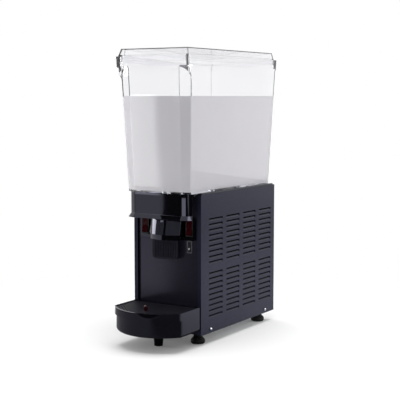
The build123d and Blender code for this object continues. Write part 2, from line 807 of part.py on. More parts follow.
collar_front_y = front_y - tap_reach + tap_collar_setback
pocket_front_y = pivot_y - hub_diameter / 2 - slip
pocket_rear_y = plate_face_y - tap_wall
pocket_half = pad_half_width + 2 * slip
channel_floor = collar_top + channel_sill
mouth_rear_y = pocket_front_y - tap_wall / 2
socket_floor = tap_top - socket_depth
seat_top = socket_floor - chamber_height
with BuildPart() as tap_body:
    for level, front in ((collar_top, front_y - tap_reach), (tap_top, front_y - tap_reach + tap_lean)):
        with BuildSketch(Plane.XY.offset(level)):
            add(bowed_plan(front, tap_half_width))
    loft(ruled=True)
    with BuildSketch(Plane.XY.offset(tap_bottom)):
        add(bowed_plan(collar_front_y, tap_half_width - tap_collar_setback))
    extrude(amount=tap_collar_height)
    with BuildSketch(Plane.XY.offset(collar_top)):
        with Locations((0, valve_y)):
            Rectangle(2 * valve_half_width, valve_depth)
    extrude(amount=tap_top - collar_top)
    with BuildSketch(Plane.XY.offset(tap_bottom)):
        with Locations((0, (pocket_front_y + pocket_rear_y) / 2)):
            Rectangle(2 * pocket_half, pocket_rear_y - pocket_front_y)
        with Locations((0, (pocket_rear_y + plate_face_y) / 2)):
            Rectangle(2 * (arm_half_width + slip), plate_face_y - pocket_rear_y)
        with Locations((0, mouth_rear_y - mouth_depth / 2)):
            Rectangle(2 * mouth_half_width, mouth_depth)
    extrude(amount=tap_collar_height, mode=Mode.SUBTRACT)
    with BuildSketch(Plane.XY.offset(collar_top)):
        with Locations((0, mouth_rear_y - mouth_depth / 2)):
            Rectangle(2 * channel_half_width, mouth_depth)
    extrude(amount=channel_floor - collar_top, mode=Mode.SUBTRACT)
    with BuildSketch(Plane.XY.offset(channel_floor)):
        with Locations((0, (mouth_rear_y - mouth_depth + valve_y) / 2)):
            Rectangle(2 * channel_half_width, valve_y - mouth_rear_y + mouth_depth)
        with Locations((0, valve_y)):
            Circle(chamber_diameter / 2)
    extrude(amount=channel_height, mode=Mode.SUBTRACT)
    for bottom, top, bore in ((collar_top, channel_floor, stem_diameter + 2 * running),
                              (channel_floor + channel_height, seat_top, seat_diameter),
                              (seat_top, socket_floor, chamber_diameter),
                              (socket_floor, tap_top, socket_diameter)):
        with BuildSketch(Plane.XY.offset(bottom)):
            with Locations((0, valve_y)):
                Circle(bore / 2)
        extrude(amount=top - bottom, mode=Mode.SUBTRACT)
    with BuildSketch(Plane.YZ):
        with Locations((pivot_y, pivot_z)):
            Circle(pin_diameter / 2 + running)
    extrude(amount=tap_half_width, both=True, mode=Mode.SUBTRACT)
tap_body.part.label = "tap_body"
export_step(tap_body.part, "parts/tap_body.step")

# Pivot pin of the tap lever
with BuildPart() as tap_pin:
    with BuildSketch(Plane.YZ):
        with Locations((pivot_y, pivot_z)):
            Circle(pin_diameter / 2)
    extrude(amount=tap_half_width - tap_collar_setback, both=True)
tap_pin.part.label = "tap_pin"
export_step(tap_pin.part, "parts/tap_pin.step")

# Tap lever: hub on the pin, ribbed push pad below and lifting arm behind
pad_front_y = pivot_y - hub_diameter / 2 + pad_rib_depth + slip
pad_bottom = tap_bottom - pad_drop
rib_pitch = 2 * (pad_half_width - pad_corner_radius / 2) / pad_ribs
arm_end_y = valve_y + stem_diameter / 2
with BuildPart() as tap_lever:
    with BuildSketch(Plane.YZ):
        with Locations((pivot_y, pivot_z)):
            Circle(hub_diameter / 2)
    extrude(amount=pad_half_width, both=True)
    with BuildSketch(Plane.XZ.offset(-pad_front_y)) as pad_face:
        with Locations((0, (pad_bottom + pivot_z) / 2)):
            Rectangle(2 * pad_half_width, pivot_z - pad_bottom)
        fillet(pad_face.vertices().group_by(Axis.Y)[0], pad_corner_radius)
    extrude(amount=-pad_thickness)
    with BuildSketch(Plane.XZ.offset(-pad_front_y)):
        with Locations((0, (pad_bottom + tap_bottom) / 2)):
            with GridLocations(rib_pitch, 1, pad_ribs, 1):
                Rectangle(pad_rib_width, pad_drop - pad_corner_radius)
    extrude(amount=pad_rib_depth)
    with BuildSketch(Plane.XY.offset(pivot_z - arm_thickness / 2)):
        with Locations((0, (pivot_y + arm_end_y) / 2)):
            Rectangle(2 * arm_half_width, arm_end_y - pivot_y)
    extrude(amount=arm_thickness)
    with BuildSketch(Plane.YZ):
        with Locations((pivot_y, pivot_z)):
            Circle(pin_diameter / 2 + running)
    extrude(amount=pad_half_width, both=True, mode=Mode.SUBTRACT)
tap_lever.part.label = "tap_lever"
export_step(tap_lever.part, "parts/tap_lever.step")

# Plunger: head on the valve seat, stem down to the lever's arm
stem_bottom = pivot_z + arm_thickness / 2 + slip
with BuildPart() as tap_plunger:
    with BuildSketch(Plane.XY.offset(stem_bottom)):
        with Locations((0, valve_y)):
            Circle(stem_diameter / 2)
    extrude(amount=seat_top + slip - stem_bottom)
    with BuildSketch(Plane.XY.offset(seat_top + slip)):
        with Locations((0, valve_y)):
            Circle(chamber_diameter / 2 - slip)
    extrude(amount=plunger_head)
tap_plunger.part.label = "tap_plunger"
export_step(tap_plunger.part, "parts/tap_plunger.step")

# Seal round the tank's nozzle in the valve socket
nozzle_end = tank_bottom - nozzle_drop
with BuildPart() as nozzle_seal:
    with BuildSketch(Plane.XY.offset(nozzle_end + seal_setback)):
        with Locations((0, valve_y)):
            Circle(socket_diameter / 2 - running)
            Circle(nozzle_diameter / 2 + running, mode=Mode.SUBTRACT)
    extrude(amount=tap_top - nozzle_end - 2 * seal_setback)
nozzle_seal.part.label = "nozzle_seal"
export_step(nozzle_seal.part, "parts/nozzle_seal.step")

# Switch plate round the tap
with BuildPart() as switch_plate:
    with BuildSketch(Plane.XZ.offset(-plate_face_y)):
        with Locations((0, plate_top - plate_height / 2)):
            RectangleRounded(2 * plate_half_width, plate_height, plate_thickness)
        add(tap_opening(plate_top + slip), mode=Mode.SUBTRACT)
        add(switch_openings(switches[:2]), mode=Mode.SUBTRACT)
    extrude(amount=-plate_thickness)
switch_plate.part.label = "switch_plate"
export_step(switch_plate.part, "parts/switch_plate.step")

# Rocker switches: housing with a bezel and pocket, and the rocker tilted to its on position
for switch_name, x, z, width, length, face_y in switches:
    pocket_width = width - 2 * bezel - 2 * housing_wall
    pocket_length = length - 2 * bezel - 2 * housing_wall
    with BuildPart() as housing:
        with BuildSketch(Plane.XZ.offset(-face_y)):
            with Locations((x, z)):
                RectangleRounded(width, length, bezel)
        extrude(amount=bezel_thickness)
        with BuildSketch(Plane.XZ.offset(-face_y)):
            with Locations((x, z)):
                Rectangle(width - 2 * bezel, length - 2 * bezel)
        extrude(amount=-switch_depth)
        with BuildSketch(Plane.XZ.offset(bezel_thickness - face_y)):
            with Locations((x, z)):
                Rectangle(pocket_width, pocket_length)
        extrude(amount=-bezel_thickness - rocker_pocket, mode=Mode.SUBTRACT)
        with BuildSketch(Plane.YZ.offset(x)):
            with Locations((face_y, z)):
                Circle(trunnion_diameter / 2 + running)
        extrude(amount=pocket_width / 2 + trunnion_length, both=True, mode=Mode.SUBTRACT)
    housing.part.label = f"{switch_name}_switch_housing"
    export_step(housing.part, f"parts/{switch_name}_switch_housing.step")

    tilt = radians(rocker_tilt)
    reach = pocket_length / 2 - rocker_end_gap
    keel_reach = reach * rocker_keel_share
    keel_depth = rocker_pocket * rocker_keel_share
    rocker_plane = Plane(origin=(x, face_y, z), x_dir=(0, sin(tilt), cos(tilt)), z_dir=(1, 0, 0))
    with BuildPart() as rocker:
        with BuildSketch(rocker_plane):
            add(polygon([(-reach, bezel_thickness + rocker_rise), (0, bezel_thickness + slip),
                         (reach, bezel_thickness + rocker_rise), (reach, -slip),
                         (keel_reach, -keel_depth), (-keel_reach, -keel_depth), (-reach, -slip)]))
        extrude(amount=pocket_width / 2 - slip, both=True)
        with BuildSketch(Plane.YZ.offset(x)):
            with Locations((face_y, z)):
                Circle(trunnion_diameter / 2)
        extrude(amount=pocket_width / 2 + trunnion_length - running, both=True)
    rocker.part.label = f"{switch_name}_rocker"
    export_step(rocker.part, f"parts/{switch_name}_rocker.step")


# Drip tray: flat sides, bowed front with a rim band, ledge for the grille and two tongues
def tray_outline(inset, rear_inset, bow_inset):
    """Sketch of the tray's plan moved inwards, with round corners between sides and bowed front."""
    half = tray_half_width - inset
    radius = tray_front_radius - bow_inset
    front = tray_front_y + bow_inset
    rear = tray_rear_y - rear_inset
    side_front = front + radius - sqrt(radius**2 - half**2)
    with BuildSketch() as outline:
        with BuildLine():
            Polyline((half, side_front), (half, rear), (-half, rear), (-half, side_front))
            ThreePointArc((-half, side_front), (0, front), (half, side_front))
        make_face()
        fillet(outline.vertices().group_by(Axis.Y)[0], max(tray_corner_radius - inset, tray_inner_radius))
    return outline.sketch


float_y = front_y - float_reach
grille_top = tray_top - grille_sink
grille_bottom = grille_top - grille_thickness
cavity_inset = tray_rim_step + tray_wall + grille_ledge
with BuildPart() as drip_tray:
    with BuildSketch(Plane.XY.offset(tray_lift)):
        add(tray_outline(0, 0, tray_rim_step))
    extrude(amount=tray_height)
    bottom_edges = drip_tray.faces().sort_by(Axis.Z)[0].edges().sort_by(Axis.Y)[:-1]
    fillet(bottom_edges, tray_bottom_radius)
    with BuildSketch(Plane.XY.offset(tray_top - tray_rim_height)):
        add(tray_outline(0, 0, 0))
    extrude(amount=tray_rim_height)
    with BuildSketch(Plane.XY.offset(grille_bottom)):
        add(tray_outline(tray_wall, tray_wall, tray_wall))
    extrude(amount=tray_top - grille_bottom, mode=Mode.SUBTRACT)
    with BuildSketch(Plane.XY.offset(tray_lift + tray_wall)):
        add(tray_outline(cavity_inset, cavity_inset, cavity_inset))
    extrude(amount=tray_height, mode=Mode.SUBTRACT)
    with BuildSketch(Plane.XZ.offset(-tray_rear_y)):
        with Locations(*tongue_places):
            Rectangle(tongue_width, tongue_thickness)
    extrude(amount=-tongue_length)
drip_tray.part.label = "drip_tray"
export_step(drip_tray.part, "parts/drip_tray.step")

# Grille: plate on the ledge with diagonal slots and a hole for the float
slot_count = int((2 * tray_half_width + tray_reach) / grille_pitch / 2)
with BuildPart() as drip_grille:
    with BuildSketch(Plane.XY.offset(grille_bottom)):
        grille_inset = tray_wall + slip
        add(tray_outline(grille_inset, grille_inset, grille_inset))
    extrude(amount=grille_thickness)
    with BuildSketch(Plane.XY.offset(grille_bottom)):
        with Locations((0, (tray_front_y + tray_rear_y) / 2)):
            with Locations(*[(n * grille_pitch, 0) for n in range(-slot_count, slot_count + 1)]):
                Rectangle(2 * tray_reach, grille_slot / sqrt(2), rotation=-45)
        slotted_inset = grille_inset + grille_border
        add(tray_outline(slotted_inset, slotted_inset, slotted_inset), mode=Mode.INTERSECT)
        with Locations((0, float_y)):
            Circle(float_diameter / 2 + grille_border, mode=Mode.SUBTRACT)
            Circle(float_diameter / 2 + slip)
    extrude(amount=grille_thickness, mode=Mode.SUBTRACT)
drip_grille.part.label = "drip_grille"
export_step(drip_grille.part, "parts/drip_grille.step")

# Float: disc on the tray's floor and a round-topped pin through the grille
float_floor = tray_lift + tray_wall + slip
with BuildPart() as tray_float:
    with BuildSketch(upright(0, float_y)):
        with BuildLine():
            Polyline((0, float_floor), (float_disc / 2, float_floor),
                     (float_disc / 2, float_floor + float_disc_height),
                     (float_diameter / 2, float_floor + float_disc_height),
                     (float_diameter / 2, grille_top + float_rise - float_diameter / 2))
            RadiusArc((float_diameter / 2, grille_top + float_rise - float_diameter / 2),
                      (0, grille_top + float_rise), -float_diameter / 2)
            Line((0, grille_top + float_rise), (0, float_floor))
        make_face()
    revolve(axis=Axis((0, float_y, 0), (0, 0, 1)))
tray_float.part.label = "tray_float"
export_step(tray_float.part, "parts/tray_float.step")

# Tapered foot under the tray
with BuildPart() as tray_foot:
    with Locations((0, front_y - tray_foot_reach, 0)):
        Cone(tray_foot_bottom / 2, tray_foot_top / 2, tray_lift, align=(Align.CENTER, Align.CENTER, Align.MIN))
tray_foot.part.label = "tray_foot"
export_step(tray_foot.part, "parts/tray_foot.step")

# Compressor: welded pot on a mounting plate, with grommets under its corners
compressor_y = rear_y - compressor_rear_margin
plate_bottom = chassis_floor + grommet_height
pot_bottom = plate_bottom + compressor_plate
pot_radius = compressor_diameter / 2
with BuildPart() as compressor:
    with BuildSketch(Plane.XY.offset(plate_bottom)):
        with Locations((0, compressor_y)):
            RectangleRounded(grommet_spacing_x + grommet_diameter, grommet_spacing_y + grommet_diameter,
                             grommet_diameter / 2)
    extrude(amount=compressor_plate)
    with BuildSketch(Plane.XY.offset(pot_bottom)):
        with Locations((0, compressor_y)):
            Circle(pot_radius - compressor_seam)
    extrude(amount=compressor_height)
    fillet(compressor.faces().sort_by(Axis.Z)[-1].edges(), compressor_shoulder)
    with BuildSketch(Plane.XY.offset(pot_bottom + compressor_height / 2)):
        with Locations((0, compressor_y)):
            Circle(pot_radius)
    extrude(amount=compressor_seam)
compressor.part.label = "compressor"
export_step(compressor.part, "parts/compressor.step")

with BuildPart() as compressor_grommets:
    with BuildSketch(Plane.XY.offset(chassis_floor)):
        with Locations((0, compressor_y)):
            with GridLocations(grommet_spacing_x, grommet_spacing_y, 2, 2):
                Circle(grommet_diameter / 2)
    extrude(amount=grommet_height)
compressor_grommets.part.label = "compressor_grommets"
export_step(compressor_grommets.part, "parts/compressor_grommets.step")

# Condenser: fins each side of a core, joined by return bends at both ends
condenser_y = front_y + condenser_reach + condenser_depth / 2
condenser_mid_z = chassis_floor + condenser_height / 2
fin_count = int(2 * condenser_half_width / fin_pitch)
with BuildPart() as condenser:
    with Locations((0, condenser_y, condenser_mid_z)):
        Box(2 * condenser_half_width, condenser_depth, condenser_height)
    with BuildSketch(Plane.XY.offset(chassis_floor)):
        for side in (-1, 1):
            with Locations((0, condenser_y + side * (condenser_depth + condenser_core) / 4)):
                with GridLocations(fin_pitch, 1, fin_count - 1, 1):
                    Rectangle(fin_gap, (condenser_depth - condenser_core) / 2)
    extrude(amount=condenser_height, mode=Mode.SUBTRACT)
    for side in (-1, 1):
        for row in range(2):
            bend_z = condenser_mid_z + (row - 0.5) * 2 * tube_pitch
            with BuildLine(Plane.XZ.offset(-condenser_y)) as bend:
                turn = CenterArc((side * condenser_half_width, bend_z), tube_pitch / 2, -90, side * 180)
            with BuildSketch(Plane(origin=turn @ 0, z_dir=turn % 0)):
                Circle(tube_diameter / 2)
            sweep(path=bend.line)
condenser.part.label = "condenser"
export_step(condenser.part, "parts/condenser.step")

# Fan behind the condenser: shroud, bracket, motor and blades
shroud_y = condenser_y + condenser_depth / 2
fan_z = condenser_mid_z
fan_front_y = shroud_y + shroud_thickness + fan_clearance
motor_front_y = fan_front_y + fan_depth + fan_clearance
with BuildPart() as fan_shroud:
    with BuildSketch(Plane.XZ.offset(-shroud_y)):
        with Locations((0, condenser_mid_z)):
            Rectangle(2 * condenser_half_width, condenser_height)
        with Locations((0, fan_z)):
            Circle(fan_radius + fan_clearance, mode=Mode.SUBTRACT)
    extrude(amount=-shroud_thickness)
fan_shroud.part.label = "fan_shroud"
export_step(fan_shroud.part, "parts/fan_shroud.step")

bracket_back_y = motor_front_y + fan_motor_length
bracket_front_y = shroud_y + shroud_thickness
with BuildPart() as fan_bracket:
    with BuildSketch(Plane.XY.offset(fan_z - bracket_width / 2)):
        with Locations((0, bracket_back_y + sheet / 2)):
            Rectangle(2 * condenser_half_width, sheet)
        for side in (-1, 1):
            arm_x = side * (condenser_half_width - sheet / 2)
            with Locations((arm_x, (bracket_front_y + bracket_back_y) / 2)):
                Rectangle(sheet, bracket_back_y - bracket_front_y)
    extrude(amount=bracket_width)
fan_bracket.part.label = "fan_bracket"
export_step(fan_bracket.part, "parts/fan_bracket.step")

with BuildPart() as fan_motor:
    with BuildSketch(Plane.XZ.offset(-motor_front_y)):
        with Locations((0, fan_z)):
            Circle(fan_motor_diameter / 2)
    extrude(amount=-fan_motor_length)
    chamfer(fan_motor.edges().filter_by(GeomType.CIRCLE), fan_motor_chamfer)
    with BuildSketch(Plane.XZ.offset(-motor_front_y)):
        with Locations((0, fan_z)):
            Circle(fan_shaft_diameter / 2)
    extrude(amount=fan_clearance + fan_depth / 2)
fan_motor.part.label = "fan_motor"
export_step(fan_motor.part, "parts/fan_motor.step")

blade_root = fan_hub_diameter / 2 - blade_root_sink
with BuildPart() as fan_blade:
    with BuildSketch(Plane.XZ.offset(-fan_front_y)):
        with Locations((0, fan_z)):
            Circle(fan_hub_diameter / 2)
    extrude(amount=-fan_depth)
    for blade in range(fan_blades):
        angle = radians(360 * blade / fan_blades)
        outward = (cos(angle), 0, sin(angle))
        around = (-sin(angle), 0, cos(angle))
        for distance, chord, pitch in ((blade_root, blade_root_chord, blade_root_pitch),
                                       (fan_radius, blade_tip_chord, blade_tip_pitch)):
            lean = radians(pitch)
            chord_dir = tuple(cos(lean) * a + sin(lean) * b for a, b in zip(around, (0, 1, 0)))
            centre = (outward[0] * distance, fan_front_y + fan_depth / 2, fan_z + outward[2] * distance)
            with BuildSketch(Plane(origin=centre, x_dir=chord_dir, z_dir=outward)):
                Rectangle(chord, blade_thickness)
        loft(ruled=True)
    with BuildSketch(Plane.XZ.offset(-fan_front_y - fan_depth)):
        with Locations((0, fan_z)):
            Circle(fan_shaft_diameter / 2 + running)
    extrude(amount=fan_depth / 2 + slip, mode=Mode.SUBTRACT)
fan_blade.part.label = "fan_blade"
export_step(fan_blade.part, "parts/fan_blade.step")

# Filter drier standing on the chassis beside the compressor
drier_y = compressor_y - grommet_spacing_y / 2 - grommet_diameter / 2 - drier_diameter
drier_x = -chassis_half + sheet + drier_diameter
with BuildPart() as filter_drier:
    with BuildSketch(upright(drier_x, drier_y)):
        with Locations((0, chassis_floor)):
            add(polygon([(0, 0), (drier_neck / 2, 0), (drier_neck / 2, drier_cone),
                         (drier_diameter / 2, 2 * drier_cone),
                         (drier_diameter / 2, drier_length - 2 * drier_cone),
                         (drier_neck / 2, drier_length - drier_cone), (drier_neck / 2, drier_length),
                         (0, drier_length)]))
    revolve(axis=Axis((drier_x, drier_y, 0), (0, 0, 1)))
filter_drier.part.label = "filter_drier"
export_step(filter_drier.part, "parts/filter_drier.step")

# Thermostat on the inside of the rear panel
thermostat_z = deck_under - thermostat_height
with BuildPart() as thermostat:
    with BuildSketch(Plane.XZ.offset(-rear_inside_y)):
        with Locations((0, thermostat_z)):
            RectangleRounded(thermostat_width, thermostat_height, thermostat_corner)
    extrude(amount=thermostat_depth)
thermostat.part.label = "thermostat"
export_step(thermostat.part, "parts/thermostat.step")

# Power inlet in the rear panel: flange, body and a recess with three pins
with BuildPart() as power_inlet:
    with BuildSketch(Plane.XZ.offset(-rear_face_y)):
        with Locations((0, inlet_z)):
            RectangleRounded(inlet_width, inlet_height, inlet_corner)
    extrude(amount=-inlet_flange)
    with BuildSketch(Plane.XZ.offset(-rear_face_y)):
        with Locations((0, inlet_z)):
            Rectangle(inlet_body_width, inlet_body_height)
    extrude(amount=inlet_body_depth)
    with BuildSketch(Plane.XZ.offset(-rear_face_y - inlet_flange)):
        with Locations((0, inlet_z)):
            Rectangle(inlet_body_width - 2 * inlet_wall, inlet_body_height - 2 * inlet_wall)
    extrude(amount=inlet_flange + inlet_socket_depth, mode=Mode.SUBTRACT)
    with BuildSketch(Plane.XZ.offset(inlet_socket_depth - rear_face_y)):
        with Locations((0, inlet_z + inlet_pin_offset), (-inlet_pin_spread, inlet_z - inlet_pin_offset),
                       (inlet_pin_spread, inlet_z - inlet_pin_offset)):
            Rectangle(inlet_pin_width, inlet_pin_height)
    extrude(amount=-inlet_pin_length)
power_inlet.part.label = "power_inlet"
export_step(power_inlet.part, "parts/power_inlet.step")
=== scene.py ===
"""Finishes, drink and fine pieces of a cold drink dispenser over its packed frame, in metres."""
import json
import logging
import math
from dataclasses import dataclass, replace
from enum import Enum
from typing import Sequence

import bmesh
import bpy
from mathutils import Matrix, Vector
from mathutils.bvhtree import BVHTree


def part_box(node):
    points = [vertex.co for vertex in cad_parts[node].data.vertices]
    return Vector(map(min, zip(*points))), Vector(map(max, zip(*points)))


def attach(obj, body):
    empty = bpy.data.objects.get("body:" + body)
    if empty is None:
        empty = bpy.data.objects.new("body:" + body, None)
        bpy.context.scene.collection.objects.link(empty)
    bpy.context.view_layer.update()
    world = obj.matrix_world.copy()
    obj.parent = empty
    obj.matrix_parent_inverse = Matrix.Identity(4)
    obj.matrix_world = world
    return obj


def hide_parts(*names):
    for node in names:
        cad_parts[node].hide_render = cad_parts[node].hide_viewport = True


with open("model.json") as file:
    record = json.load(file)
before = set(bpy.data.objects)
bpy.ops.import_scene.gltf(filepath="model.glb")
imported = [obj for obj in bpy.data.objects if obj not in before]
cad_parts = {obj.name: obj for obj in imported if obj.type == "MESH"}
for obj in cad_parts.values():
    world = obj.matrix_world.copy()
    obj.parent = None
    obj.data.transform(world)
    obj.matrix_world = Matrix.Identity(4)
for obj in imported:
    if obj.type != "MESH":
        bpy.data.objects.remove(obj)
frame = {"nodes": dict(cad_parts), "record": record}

LOG = logging.getLogger("dispenser")
NodeInputs = dict[str | int, object]
EdgeKey = frozenset[tuple[int, ...]]
Row = list[bmesh.types.BMVert]
Spot = tuple[float, float]
Point = tuple[float, float, float]

MM = 0.001
# Points of a CAD mesh that lie closer than this are one point
WELD = 0.002 * MM
# Grid on which the ends of edges are named
KEY_STEP = 5 * WELD
# Degrees: normals that break by more make a crease, faces that turn by less are one face
CREASE_ANGLE = 4.0
FLAT_ANGLE = 0.3
# Share of an edge's length that is height, above which it counts as upright
UPRIGHT_SHARE = 0.9
# Faces across a rounded edge of a small piece and of a main one
EDGE_STEPS = 2
FINE_EDGE_STEPS = 3
# How much belt lines are drawn out along X
BRUSH_STRETCH = 0.03
# Octaves of noise in a soft peel and in a fine grain
PEEL_OCTAVES = 1.0
GRAIN_OCTAVES = 3.0
# Specular level of a shader that is left alone
PLAIN_SPECULAR = 0.5
# Share of a normal along an axis, below which a face counts as turned away from it
TURNED_AWAY = 0.5
# Diffuse depth below which light has not yet bounced off a matt surface
NO_BOUNCE = 0.5
WHITE = "#ffffff"
BLACK = "#000000"

BODY_OF_NODE = {
    node: body for body, nodes in frame["record"]["behaviour"]["bodies"].items() for node in nodes}


def linear(code: str) -> tuple[float, float, float, float]:
    """Turn an sRGB hex code into linear red, green and blue with full alpha.

    Args:
        code: Colour as "#rrggbb".

    Returns:
        Four linear channels.
    """
    channels = [int(code[start:start + 2], 16) / 255 for start in (1, 3, 5)]
    red, green, blue = (c / 12.92 if c <= 0.04045 else ((c + 0.055) / 1.055) ** 2.4 for c in channels)
    return red, green, blue, 1.0


def add_node(tree: bpy.types.NodeTree, kind: str, inputs: NodeInputs | None = None,
             **settings: object) -> bpy.types.Node:
    """Add a node with its settings, and give its inputs a value or a link.

    Args:
        tree: Shader or geometry tree that gets the node.
        kind: Blender's type name of the node.
        inputs: Values, or output sockets to link from, by input name or number.
        settings: Attributes of the node itself.

    Returns:
        The new node.
    """
    node = tree.nodes.new(kind)
    for name, value in settings.items():
        setattr(node, name, value)
    for name, value in (inputs or {}).items():
        if isinstance(value, bpy.types.NodeSocket):
            tree.links.new(value, node.inputs[name])
        else:
            node.inputs[name].default_value = value
    return node


def add_object(name: str, data: bpy.types.ID) -> bpy.types.Object:
    """Make an object of a mesh, lamp or camera and put it in the scene.

    Args:
        name: Name of the object.
        data: What it shows.

    Returns:
        The new object.
    """
    made = bpy.data.objects.new(name, data)
    bpy.context.scene.collection.objects.link(made)
    return made


def blank_material(name: str) -> bpy.types.Material:
    """Start a material with an empty node tree.

    Args:
        name: Name of the material.

    Returns:
        The new material.
    """
    made = bpy.data.materials.new(name)
    made.use_nodes = True
    made.node_tree.nodes.clear()
    return made


class Grain(Enum):
    """Ways in which a surface was made, as the pattern that it leaves."""

    MOULDED = "even fine grain of a spark-eroded mould"
    PEEL = "soft orange peel of a stoved coating"
    BRUSHED = "lines along X from an abrasive belt"
    SPANGLE = "crystals of hot-dip zinc"


class Axis(Enum):
    """Axes of the machine, as a node's outputs name them."""

    X = "X"
    Y = "Y"
    Z = "Z"


@dataclass(frozen=True)
class Finish:
    """An opaque material with its surface grain; sizes in millimetres.

    Mould grain and belt lines are finer on the real pieces, and are drawn as coarse as they need to show.
    """

    name: str
    slot: str
    colour: str
    fleck: str
    roughness: float
    spread: float
    grain_size: float
    relief: float
    grain: Grain = Grain.MOULDED
    metallic: float = 0.0
    ior: float = 1.5
    sheen_tint: str = WHITE

    def material(self) -> bpy.types.Material:
        """Build the material the first time, and hand out the same one after that.

        Returns:
            The finish's material.
        """
        made = bpy.data.materials.get(self.name)
        if made is None:
            made = blank_material(self.name)
            self.wire(made.node_tree)
        return made

    def pattern(self, tree: bpy.types.NodeTree) -> bpy.types.NodeSocket:
        """Add the grain's texture.

        Args:
            tree: The material's node tree.

        Returns:
            The grain's height, from 0 to 1.
        """
        place = add_node(tree, "ShaderNodeTexCoord").outputs["Object"]
        scale = 1 / (self.grain_size * MM)
        if self.grain is Grain.SPANGLE:
            cells = add_node(tree, "ShaderNodeTexVoronoi", {"Vector": place, "Scale": scale})
            return add_node(tree, "ShaderNodeRGBToBW", {0: cells.outputs["Color"]}).outputs[0]
        if self.grain is Grain.BRUSHED:
            along = add_node(tree, "ShaderNodeMapping", {"Vector": place, "Scale": (BRUSH_STRETCH, 1.0, 1.0)})
            place = along.outputs["Vector"]
        octaves = PEEL_OCTAVES if self.grain is Grain.PEEL else GRAIN_OCTAVES
        noise = add_node(tree, "ShaderNodeTexNoise", {"Vector": place, "Scale": scale, "Detail": octaves})
        return noise.outputs[0]

    def dullness(self, tree: bpy.types.NodeTree, height: bpy.types.NodeSocket) -> bpy.types.NodeSocket:
        """Spread the roughness over the grain.

        Args:
            tree: The material's node tree.
            height: The grain's height.

        Returns:
            The roughness.
        """
        dull = add_node(tree, "ShaderNodeMapRange", {
            "Value": height, "To Min": self.roughness - self.spread, "To Max": self.roughness + self.spread})
        return dull.outputs["Result"]

    def wire(self, tree: bpy.types.NodeTree) -> bpy.types.Node:
        """Lay the grain into colour, roughness and bump of one shader.

        Args:
            tree: The material's empty node tree.

        Returns:
            The shader.
        """
        height = self.pattern(tree)
        tone = add_node(tree, "ShaderNodeMix", {0: height, 6: linear(self.colour), 7: linear(self.fleck)},
                        data_type="RGBA")
        bump = add_node(tree, "ShaderNodeBump", {
            "Height": height, "Strength": 1.0, "Distance": self.relief * MM})
        shader = add_node(tree, "ShaderNodeBsdfPrincipled", {
            "Base Color": tone.outputs[2], "Roughness": self.dullness(tree, height),
            "Normal": bump.outputs["Normal"], "Metallic": self.metallic, "IOR": self.ior,
            "Specular Tint": linear(self.sheen_tint)})
        add_node(tree, "ShaderNodeOutputMaterial", {"Surface": shader.outputs["BSDF"]})
        return shader


@dataclass(frozen=True)
class ClearFinish(Finish):
    """A clear moulding that lets lamps through and takes on its fleck's tint on long ways inside it."""

    density: float = 3.0
    straight: float = 0.02
    passed: str = "#fefeff"

    def wire(self, tree: bpy.types.NodeTree) -> bpy.types.Node:
        """Wire clear plastic with faint absorption.

        Args:
            tree: The material's empty node tree.

        Returns:
            The shader of its surface.
        """
        clear = add_node(tree, "ShaderNodeBsdfPrincipled", {
            "Base Color": linear(self.colour), "Roughness": self.dullness(tree, self.pattern(tree)),
            "IOR": self.ior, "Transmission Weight": 1.0})
        passing = add_node(tree, "ShaderNodeBsdfTransparent", {"Color": linear(self.passed)})
        shadow = add_node(tree, "ShaderNodeLightPath").outputs["Is Shadow Ray"]
        share = add_node(tree, "ShaderNodeMath", {0: shadow, 1: self.straight}, operation="MAXIMUM")
        surface = add_node(tree, "ShaderNodeMixShader", {
            0: share.outputs[0], 1: clear.outputs["BSDF"], 2: passing.outputs["BSDF"]})
        inside = add_node(tree, "ShaderNodeVolumeAbsorption", {
            "Color": linear(self.fleck), "Density": self.density})
        add_node(tree, "ShaderNodeOutputMaterial", {
            "Surface": surface.outputs["Shader"], "Volume": inside.outputs["Volume"]})
        return clear


@dataclass(frozen=True)
class SlottedFinish(Finish):
    """A finish with shade painted down in its slots: a darker colour and a falling specular level there;
    millimetres.

    The face lies across one axis, on both sides of the machine where it has two. Walls that face along the
    unshaded axis get no painted shade.
    """

    axis: Axis = Axis.X
    unshaded: Axis = Axis.Y
    face: float = 0.0
    # Depths below the face where the painted shade begins and where it is full
    dark_from: float = 0.9
    dark_to: float = 2.2
    shade: str = "#03040b"

    def wire(self, tree: bpy.types.NodeTree) -> bpy.types.Node:
        """Wire the finish and paint shade on what lies behind the face.

        Args:
            tree: The material's empty node tree.

        Returns:
            The shader.
        """
        shader = super().wire(tree)
        tone = shader.inputs["Base Color"].links[0].from_socket
        place = add_node(tree, "ShaderNodeTexCoord").outputs["Object"]
        out = add_node(tree, "ShaderNodeSeparateXYZ", {0: place}).outputs[self.axis.value]
        reach = add_node(tree, "ShaderNodeMath", {0: out}, operation="ABSOLUTE")
        depth = add_node(tree, "ShaderNodeMapRange", {
            "Value": reach.outputs[0], "From Min": (self.face - self.dark_from) * MM,
            "From Max": (self.face - self.dark_to) * MM})
        normal = add_node(tree, "ShaderNodeNewGeometry").outputs["Normal"]
        along = add_node(tree, "ShaderNodeSeparateXYZ", {0: normal}).outputs[self.unshaded.value]
        turned = add_node(tree, "ShaderNodeMath", {0: along}, operation="ABSOLUTE")
        wall = add_node(tree, "ShaderNodeMath", {0: turned.outputs[0], 1: TURNED_AWAY}, operation="LESS_THAN")
        share = add_node(tree, "ShaderNodeMath", {0: depth.outputs["Result"], 1: wall.outputs[0]},
                         operation="MULTIPLY").outputs[0]
        # Painted shade: the colour darkens and the specular level falls to nothing down in the slots
        shade = add_node(tree, "ShaderNodeMix", {0: share, 6: tone, 7: linear(self.shade)}, data_type="RGBA")
        gloss = add_node(tree, "ShaderNodeMapRange", {
            "Value": share, "To Min": PLAIN_SPECULAR, "To Max": 0.0})
        tree.links.new(shade.outputs[2], shader.inputs["Base Color"])
        tree.links.new(gloss.outputs["Result"], shader.inputs["Specular IOR Level"])
        return shader


